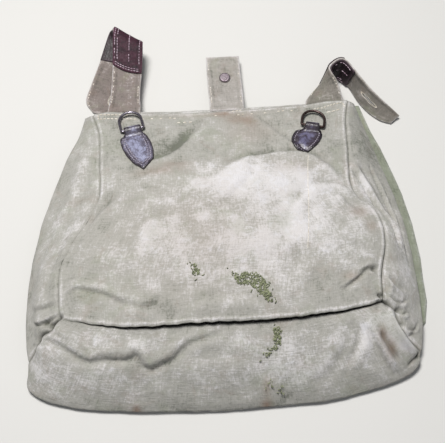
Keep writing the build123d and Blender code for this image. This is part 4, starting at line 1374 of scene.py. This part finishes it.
def strap_edge_stitches(name, ribbon, ends, lift, source_name, chance):
    """A row of pale stitches along each of a strap's edges, between two runs along it."""
    source = random.Random(source_name)
    lines = []
    along = np.linspace(*ends, max(3, int((ends[1] - ends[0]) / 0.7)))
    for inset in (EDGE_INSET, ribbon.wide - EDGE_INSET):
        line = ribbon.at(np.full(len(along), inset), along, lift)
        normal = ribbon.normal(along) * math.copysign(1.0, lift)
        lines += stitch_lines(line, normal, 2.2, 0.9, 0.5, chance, source)
    return threads(name, lines, 0.4, PALE_THREAD)


def station_run(ribbon, stations, index):
    """How far along the ribbon a station lies."""
    middle = (np.array(stations[index][0], float) + np.array(stations[index][1])) / 2
    path = (ribbon.first + ribbon.second) / 2
    return float(ribbon.run[np.linalg.norm(path - middle, axis=1).argmin()])


def make_hook_strap():
    """The short middle strap with its steel hook."""
    ribbon = Ribbon(HOOK_STRAP, 33.0)
    piece = strap_piece("hook_strap_canvas", ribbon, 0, ribbon.long, STRAP_THICK, 0.7, 31, STRAP_CANVAS, 0.5)
    hem = strap_edge_stitches("hook_strap_stitches", ribbon, (8, ribbon.long - 2), 1.0, "hook", 0.35)
    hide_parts("hook_strap")
    for part in (piece, hem):
        swing_with(part)
    for node in ("belt_hook", "hook_rivet"):
        dress(node, RIVET_METAL if node == "hook_rivet" else GREY_STEEL)


def dress(node, material):
    """Gives a CAD node that stays a material."""
    mesh = frame["nodes"][node].data
    mesh.materials.clear()
    mesh.materials.append(material)
    mesh.polygons.foreach_set("material_index", [0] * len(mesh.polygons))


def make_loop(side, stations, leather_from, leather_to, face, hole, cloth, hide, lining):
    """A belt loop: canvas strap, leather on one face, lining round the fold, stitches and a buttonhole.

    Leather_from, leather_to and lining are numbers of stations. Face is 1 or -1: the side with the leather.
    """
    ribbon = Ribbon(stations, LOOP_WIDE)
    seed = 41 if side == "left" else 51
    canvas = strap_piece(f"loop_strap_{side}_canvas", ribbon, 0, ribbon.long, STRAP_THICK, 0.7, seed, cloth,
                         0.6, holes=[hole])
    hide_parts(f"loop_strap_{side}")
    start, end = station_run(ribbon, stations, leather_from), station_run(ribbon, stations, leather_to)
    lift = face * (STRAP_THICK / 2 + 1.15)

    def lower(across):
        """The leather's rounded lower end: a run for each place across."""
        share = across / ribbon.wide
        return start - LEATHER_DROP * (0.4 + 0.6 * share) - 3.0 * math.sin(math.pi * share) ** 0.8

    name = f"loop_leather_{side}"
    leather = strap_piece(f"{name}_hide", ribbon, lower, end, 1.6, 0.25, 61, hide, 0.5, lift=lift)
    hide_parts(f"loop_leather_{side}")
    low, high = (station_run(ribbon, stations, place) for place in lining)
    backing = strap_piece(f"{name}_lining", ribbon, low, lambda across: high - 0.25 * across, 1.0, 0.1, 63,
                          BLACK_LEATHER, 0.3, lift=-face * (STRAP_THICK / 2 + 0.9))
    lines = leather_rows(ribbon, lower, (start + 3, end - 2), lift + face * 0.95, face, f"leather {side}")
    seams = threads(f"{name}_stitches", lines, 0.42, RED_THREAD)
    edges = strap_edge_stitches(f"loop_strap_{side}_stitches", ribbon, (12, ribbon.long - 4), -face * 1.1,
                                f"edge {side}", 0.5)
    outer = strap_edge_stitches(f"loop_strap_{side}_outer_stitches", ribbon, (14, start - 8), face * 1.1,
                                f"outer {side}", 0.55)
    rim = buttonhole_threads(f"loop_buttonhole_{side}", ribbon, hole)
    for part in (canvas, leather, backing, seams, edges, outer, rim):
        swing_with(part)
    dress(f"loop_button_{side}", HORN)


def leather_rows(ribbon, lower, ends, top, face, source_name):
    """Rows of stitches along and across a loop's leather."""
    source = random.Random(source_name)
    lines = []
    along = np.linspace(*ends, 120)
    for inset in (2.0, 4.8, ribbon.wide * 0.55, ribbon.wide - 3.2):
        line = ribbon.at(np.full(len(along), inset), along, top)
        lines += stitch_lines(line, ribbon.normal(along) * face, 2.4, 0.45, 0.5, 0.93, source)
    for inset in (2.0, 4.2):
        across = np.linspace(2.0, ribbon.wide - 2, 60)
        row = np.array([lower(value) + inset for value in across])
        line = ribbon.at(across, row, top)
        lines += stitch_lines(line, ribbon.normal(row) * face, 2.4, 0.45, 0.5, 0.95, source)
    return lines


def buttonhole_threads(name, ribbon, hole):
    """Overcast stitches round a buttonhole, on both faces of the strap."""
    across, along, half_wide, half_long = hole
    lines = []
    for face in (-1, 1):
        for turn in np.linspace(0, 2 * np.pi, 40, endpoint=False):
            inner = np.array([math.cos(turn) * half_wide * 0.9, math.sin(turn) * half_long * 0.97])
            outer = np.array([math.cos(turn) * (half_wide + 1.5), math.sin(turn) * (half_long + 1.2)])
            steps = np.linspace(0, 1, 4)[:, None]
            way = inner + (outer - inner) * steps
            lift = face * np.array([0.2, 1.15, 1.2, 0.8])
            lines.append(ribbon.at(across + way[:, 0], along + way[:, 1], lift))
    return threads(name, lines, 0.33, PALE_THREAD)


def nearest_on(ribbon, place, low, high):
    """Across and along of the point of a strap that is nearest to a place, between two runs along it."""
    across, along = np.meshgrid(np.linspace(3, ribbon.wide - 3, 60), np.linspace(low, high, 200))
    far = np.linalg.norm(ribbon.at(across, along) - np.array(place, float), axis=-1)
    index = np.unravel_index(far.argmin(), far.shape)
    return float(across[index]), float(along[index])


def make_straps():
    """The hook strap and both belt loops, each with a buttonhole near its free end."""
    make_hook_strap()
    left = Ribbon(LEFT_LOOP, LOOP_WIDE)
    eye = nearest_on(left, (-102.5, 143.5, 4), left.long * 0.6, left.long)
    make_loop("left", LEFT_LOOP, 4, 7, 1, (*eye, 1.8, 5.5), LEFT_LOOP_CANVAS, OXBLOOD, (5, 8))
    right = Ribbon(RIGHT_LOOP, LOOP_WIDE)
    eye = nearest_on(right, (148, 124, 12), right.long * 0.6, right.long)
    make_loop("right", RIGHT_LOOP, 3, 7, -1, (*eye, 1.9, 10.0), RIGHT_LOOP_CANVAS, BLACK_LEATHER, (3, 6))


# --- Front, hems and flap ----------------------------------------------------------------------------

# The mouth's hem and the flap lean a little: x grows by this share of y
LEAN = 0.04
FLAP_SHIFT = 6.0
FLAP_TOP_Z = 8.0
# Places down the flap, and how far each of its sides is from its middle there
FLAP_SIDES = [(122, 128), (75, 147), (25, 162), (-5, 168), (-40, 172), (-80, 172.5), (-100, 169), (-112, 156)]
FLAP_END_Y = -114.0
# How much narrower its left half is near the root, to swing clear of the left belt loop's tail: at y, by
ROOT_CUT = [(86, 0), (104, 20), (122, 20)]


def edge_y(x):
    """y of the bag's top edge."""
    points = np.array(TOP_EDGE)
    return np.interp(x, points[:, 0], points[:, 1])


def flap_half(y):
    """Half the flap's width at a y."""
    lows, halves = zip(*FLAP_SIDES[::-1])
    return np.interp(y, lows, halves)


def make_flap():
    """The closed flap under the bag. Its edges droop to the floor."""
    rows, columns = 96, 118
    down = np.linspace(121.0, FLAP_END_Y, rows)
    share = np.linspace(-1, 1, columns)
    y = np.repeat(down[:, None], columns, 1)
    middle_x = FLAP_SHIFT + LEAN * y
    cut_y, cut = zip(*ROOT_CUT)
    x = middle_x + share[None] * (flap_half(y) - np.interp(y, cut_y, cut) * (share[None] < 0))
    y = y - 3.0 * bell((down[:, None] - FLAP_END_Y) / 16) * (1 - share[None] ** 2)
    side_gap = flap_half(y) * (1 - np.abs(share[None]))
    end_gap = y - FLAP_END_Y + 4
    gap = np.minimum(side_gap, end_gap)
    level = FLAP_TOP_Z - CLOTH / 2 - 0.1
    near_hinge = np.clip((y - 96) / 24, 0, 1)
    droop = np.maximum(eased(np.clip(gap / 15, 0, 1)), near_hinge)
    z = 1.0 + (level - 1.0) * droop
    grid = np.stack([x, y, z], axis=-1)
    uneven = 0.9 * crumple(grid, 26, 71) + 0.4 * crumple(grid, 9, 72)
    grid[..., 2] += np.clip(uneven, -0.8, 0.0) * droop * (1 - near_hinge)
    grid[..., 2] += 0.7 * np.clip(uneven, 0, 1) * (1 - droop)
    grid[..., 0] += 0.8 * crumple(grid, 30, 73) * (1 - np.clip(gap / 10, 0, 1))
    thick = CLOTH * (1 + 0.5 * np.exp(-((gap - 5) / 5) ** 4))
    normal = np.zeros_like(grid)
    normal[..., 2] = 1
    rubbed_and_sheen = 0.7 * bell(gap / 1.2) - 0.15
    piece = slab("flap_panel_canvas", grid, normal, thick, FLAP_CANVAS, wear_and_shading=rubbed_and_sheen)
    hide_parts("flap_panel")
    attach(piece, "flap")


# How the flap's root goes round the top edge: distance past the edge, height
TURN_PROFILE = [
    (-6.0, 16.9), (-2.5, 16.9), (0.2, 16.3), (1.9, 14.2), (2.3, 12.0), (1.9, 10.0), (0.6, 8.4), (-1.6, 7.6),
]


def make_flap_turn():
    """The flap's root, from behind the top edge down to the hinge in front of the mouth."""
    columns = 120
    x = np.linspace(TURN_MIDDLE_X - 122, TURN_MIDDLE_X + 119, columns)
    across = curve([(0, out, z) for out, z in TURN_PROFILE], 22)
    grid = np.zeros((len(across), columns, 3))
    share = np.linspace(0, 1, len(across))[:, None]
    top, low = edge_y(x)[None], np.full(columns, 120.5)[None]
    grid[..., 0] = x[None]
    grid[..., 1] = across[:, 1:2] + top * (1 - share) + low * share
    grid[..., 2] = across[:, 2:3]
    uneven = crumple(grid, 22, 81)
    grid[..., 1] += 0.7 * uneven * np.sin(np.pi * share)
    normal = normals_of(grid, (0, 1, 0.3))
    # Painted light on top of the turn, fading to painted shade as it goes down under the top edge
    rubbed_and_sheen = 0.6 - 0.8 * np.repeat(share, columns, 1)
    piece = slab("flap_turn_canvas", grid, normal, CLOTH, CANVAS, wear_and_shading=rubbed_and_sheen)
    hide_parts("flap_turn")
    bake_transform(piece)


def make_mouth_hem():
    """The hem of the mouth: a level strip of canvas, slightly uneven."""
    y = np.repeat(np.linspace(115.4, 105, 5)[:, None], 110, 1)
    x = LEAN * y + np.linspace(-1, 1, 110)[None] * 116
    grid = np.stack([x, y, np.full_like(x, 11.2)], axis=-1)
    grid[..., 2] += 0.25 * crumple(grid, 18, 91)
    piece = slab("mouth_hem_canvas", grid, normals_of(grid), CLOTH, CANVAS)
    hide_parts("mouth_hem")
    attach(piece, "bag")


def make_front(grids):
    """The front panel, between the tucked edges of the bag's sides and bottom."""
    left, right = grids["side_gusset_left"][:, -1], grids["side_gusset_right"][:, -1]
    low = grids["bottom_gusset"][-1]
    top = np.linspace(left[0], right[0], BACK_COLUMNS)
    top[:, 1] = 116.0
    edges = []
    for edge, end in ((left, 0), (right, -1)):
        kept = edge[edge[:, 1] < 112]
        edges.append(curve(np.vstack([top[end], kept[::8], kept[-1:], low[end]]), ROWS))
    grid = patch(top, low, *edges)
    grid[..., 2] = np.interp(-grid[..., 1], [-120, -75, -25, 5, 160], [9.5, 9.5, 11.3, 13.2, 13.2])
    grid[..., 2] += 0.4 * np.clip(crumple(grid, 30, 95), 0, 1) + 0.2 * crumple(grid, 10, 96)
    normal = normals_of(grid, (0, 0, -1))
    piece = slab("front_panel_canvas", grid, normal, CLOTH, CANVAS)
    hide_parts("front_panel")
    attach(piece, "bag")


def make_top_hem(surface):
    """The hem's inner layer, just under the back's top edge."""
    columns = 120
    x = np.linspace(-110, 119, columns)
    rows = np.linspace(-1.0, -11.0, 7)
    grid = np.zeros((len(rows), columns, 3))
    for row, inwards in enumerate(rows):
        for column, value in enumerate(x):
            y = float(edge_y(value)) + inwards
            hit = surface.drop(value, y)
            grid[row, column] = (value, y, (hit[0][2] if hit is not None else 20) - CLOTH - 0.75)
    normal = normals_of(grid)
    piece = slab("top_hem_canvas", grid, normal, 1.0, CANVAS)
    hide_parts("top_hem")
    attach(piece, "bag")


def make_keeper(side):
    """A leather keeper whose middle stands off the flap's outside, with stitches at both ends."""
    low, high = (np.array(corner) * 1000 - ORIGIN * 1000 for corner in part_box(f"flap_keeper_{side}"))
    along = np.linspace(low[1], high[1], 60)
    across = low[0] + spread(high[0] - low[0], 1.5)
    middle_y = (low[1] + high[1]) / 2
    grid = np.zeros((len(along), len(across), 3))
    grid[..., 0], grid[..., 1] = across[None], along[:, None]
    away = eased(np.clip((np.abs(along - middle_y) - 13) / 7, 0, 1))
    grid[..., 2] = (1.0 + away * 4.9)[:, None]
    rim = np.minimum(across - across[0], across[-1] - across)[None] + 0 * along[:, None]
    rim = np.minimum(rim, np.minimum(along - along[0], along[-1] - along)[:, None])
    thick = 1.6 * (0.3 + 0.7 * np.clip(rim / 0.9, 0, 1) ** 0.5)
    normal = normals_of(grid, (0, 0, -1))
    wear_and_shading = 0.4 - 1.1 * bell(rim / 1.2)
    keeper = slab(f"flap_keeper_{side}_leather", grid, normal, thick, TAB_RIGHT, wear_and_shading=wear_and_shading)
    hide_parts(f"flap_keeper_{side}")
    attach(keeper, "flap")
    lines, source = [], random.Random(f"keeper {side}")
    for end in (-1, 1):
        for inset in (2.0, 10.0):
            y = middle_y + end * (high[1] - low[1] - 2 * inset) / 2
            line = np.array([(x, y, 5.0) for x in np.linspace(low[0] + 2, high[0] - 2, 30)])
            lines += stitch_lines(line, np.tile([0, 0, -1.0], (30, 1)), 2.0, 0.7, 0.5, 0.95, source)
    stitches = threads(f"flap_keeper_{side}_stitches", lines, 0.3, TAB_THREAD)
    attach(stitches, "flap")


def make_flap_leather():
    """Keepers on the flap's outside, and the looks of what stays as the CAD draws it."""
    for side in ("left", "right"):
        make_keeper(side)
        dress(f"closing_tab_{side}", TAB_RIGHT)
        dress(f"front_button_{side}", HORN)
        dress(f"flap_ring_{side}", BROWN_STEEL)
    dress("ring_left", GREY_STEEL)
    dress("ring_right", BROWN_STEEL)


# --- Seam stitches and mending -----------------------------------------------------------------------

# Rows of stitches on the bag: points, stitch length, gap, share that shows
BAG_ROWS = [
    ([(-73, 107), (-60, 107.5), (-35, 107), (-8, 107)], 2.4, 1.9, 0.3),
    ([(-8, 107), (26, 108), (53, 109), (84, 111)], 2.4, 1.9, 0.35),
    ([(-112, 115.5), (-95, 114.2), (-76, 113)], 2.8, 0.8, 0.95),
    ([(-112, 110), (-95, 109.2), (-74, 108)], 2.8, 0.8, 0.95),
    ([(-112.5, 115.5), (-112.5, 109.5)], 2.2, 0.6, 1.0),
    ([(92, 110), (104, 112.5), (114, 116), (122, 118.5)], 2.6, 0.8, 0.95),
    ([(104, 106), (112, 107), (122, 111)], 4.2, 0.7, 0.95),
    ([(122, 118), (123, 110)], 2.4, 0.7, 1.0),
    ([(14, 112.5), (25, 114)], 2.8, 0.7, 1.0),
    ([(-40, 101), (-22, 102)], 3.4, 2.2, 0.7),
]
# A long pale thread that lies on the back
LOOSE_THREAD = [(80, 51), (77, 26), (75, 4), (72.5, -20), (69, -45)]


def make_bag_stitches(surface):
    """Stitches of the bag's hems and seams, and a loose thread."""
    source = random.Random("bag stitches")
    lines = []
    for points, long, gap, chance in BAG_ROWS:
        line, normals = surface.line(points)
        lines += stitch_lines(line + normals * 0.1, normals, long, gap, 0.6, chance, source, 0.25)
    piece = threads("bag_stitches", lines, 0.5, PALE_THREAD)
    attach(piece, "bag")
    line, normals = surface.line(LOOSE_THREAD)
    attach(threads("loose_thread", [line + normals * 0.1], 0.22, PALE_THREAD), "bag")


# Darned places: outline, how many loops of thread a square millimetre of its box has, and its loose ends
MENDS = {
    "small": ([(-30, -54), (-27, -55), (-22, -61), (-22, -65), (-29, -64.5), (-27, -60)], 0.85, 5),
    "long": ([(4, -63), (9.4, -67.5), (14.2, -64.5), (23.3, -64.5), (29.2, -69), (33, -75.5),
              (35, -82.5), (36.5, -89), (32, -89.6), (26, -82.3), (22, -77.7), (18, -74.5), (10, -75.8),
              (7, -70)], 0.9, 14),
    "low": ([(36, -108.5), (42, -108.5), (41.6, -116), (40.4, -123.5), (36.4, -124), (35.4, -116)], 0.9, 5),
    "tail": ([(36.6, -122.5), (30.6, -126), (25.6, -128), (27, -131.5), (31, -129), (38, -124.5)], 0.5, 5),
}
KNOTS = [(30.5, -149.8), (40, -153.3)]


def inside(point, outline):
    """Whether a point lies inside an outline."""
    x, y = point
    crossed = False
    for (x0, y0), (x1, y1) in zip(outline, outline[1:] + outline[:1]):
        if (y0 > y) != (y1 > y) and x < x0 + (y - y0) / (y1 - y0) * (x1 - x0):
            crossed = not crossed
    return crossed


def darn(outline, density, surface, source):
    """Many short curled loops of thread that fill a mended hole."""
    xs, ys = [x for x, _ in outline], [y for _, y in outline]
    box = (max(xs) - min(xs)) * (max(ys) - min(ys))
    lines = []
    for _ in range(int(box * density)):
        place = (source.uniform(min(xs), max(xs)), source.uniform(min(ys), max(ys)))
        if inside(place, outline):
            lines += curl(place, surface, source)
    return lines


def curl(place, surface, source):
    """One short loop of thread that stands up from the cloth."""
    hit = surface.drop(*place)
    if hit is None:
        return []
    turn = source.uniform(0, 2 * math.pi)
    way = np.array([math.cos(turn), math.sin(turn), 0])
    aside = np.array([-way[1], way[0], 0]) * source.uniform(-1.2, 1.2)
    long, tall = source.uniform(1.6, 3.0), source.uniform(0.5, 1.3)
    steps = np.linspace(0, 1, 7)[:, None]
    arch = np.sin(np.pi * steps)
    return [hit[0] + way * long * (steps - 0.5) + aside * arch + hit[1] * (tall * arch - 0.2)]


def fuzz(outline, count, surface, source):
    """Short loose ends that stand off a darn."""
    lines = []
    for _ in range(count):
        x, y = source.choice(outline)
        x, y = x + source.uniform(-3, 3), y + source.uniform(-3, 3)
        hit = surface.drop(x, y)
        if hit is None:
            continue
        turn = source.uniform(0, 2 * math.pi)
        way = np.array([math.cos(turn), math.sin(turn), 0])
        bend = np.array([-way[1], way[0], 0]) * source.uniform(-0.7, 0.7)
        long = source.uniform(1.2, 3.2)
        steps = np.linspace(0, 1, 5)[:, None]
        rise = hit[1] * (np.sin(steps * 2.6) - 0.1)
        lines.append(hit[0] + way * long * steps + bend * long * steps**2 + rise)
    return lines


def make_mends(surface):
    """The darned places and the knots of mending thread."""
    for name, (outline, density, ends) in MENDS.items():
        source = random.Random(f"mend {name}")
        lines = darn(outline, density, surface, source) + fuzz(outline, ends, surface, source)
        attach(threads(f"mend_{name}", lines, 0.42, MOSS_THREAD), "bag")
    source = random.Random("knots")
    lines = []
    for place in KNOTS:
        lines += fuzz([place], 7, surface, source)
    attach(threads("mend_knots", lines, 0.4, MOSS_THREAD), "bag")


# --- Scene -------------------------------------------------------------------------------------------


FLOOR_REACH, FLOOR_Z = 4000, -0.1


def make_floor():
    """A wide level square just under the bag."""
    corners = [(x * FLOOR_REACH, y * FLOOR_REACH, FLOOR_Z) for x, y in ((-1, -1), (1, -1), (1, 1), (-1, 1))]
    floor = mesh_object("floor", corners, [(0, 1, 2, 3)], floor_material())


make_camera()
make_studio()
make_floor()
bag, bag_grids = make_bag()
on_bag = Surface(*bag.values())
make_front(bag_grids)
make_mouth_hem()
make_flap()
make_flap_turn()
make_top_hem(Surface(bag["back_panel"]))
make_flap_leather()
make_tabs(on_bag)
make_straps()
make_bag_stitches(on_bag)
make_mends(on_bag)
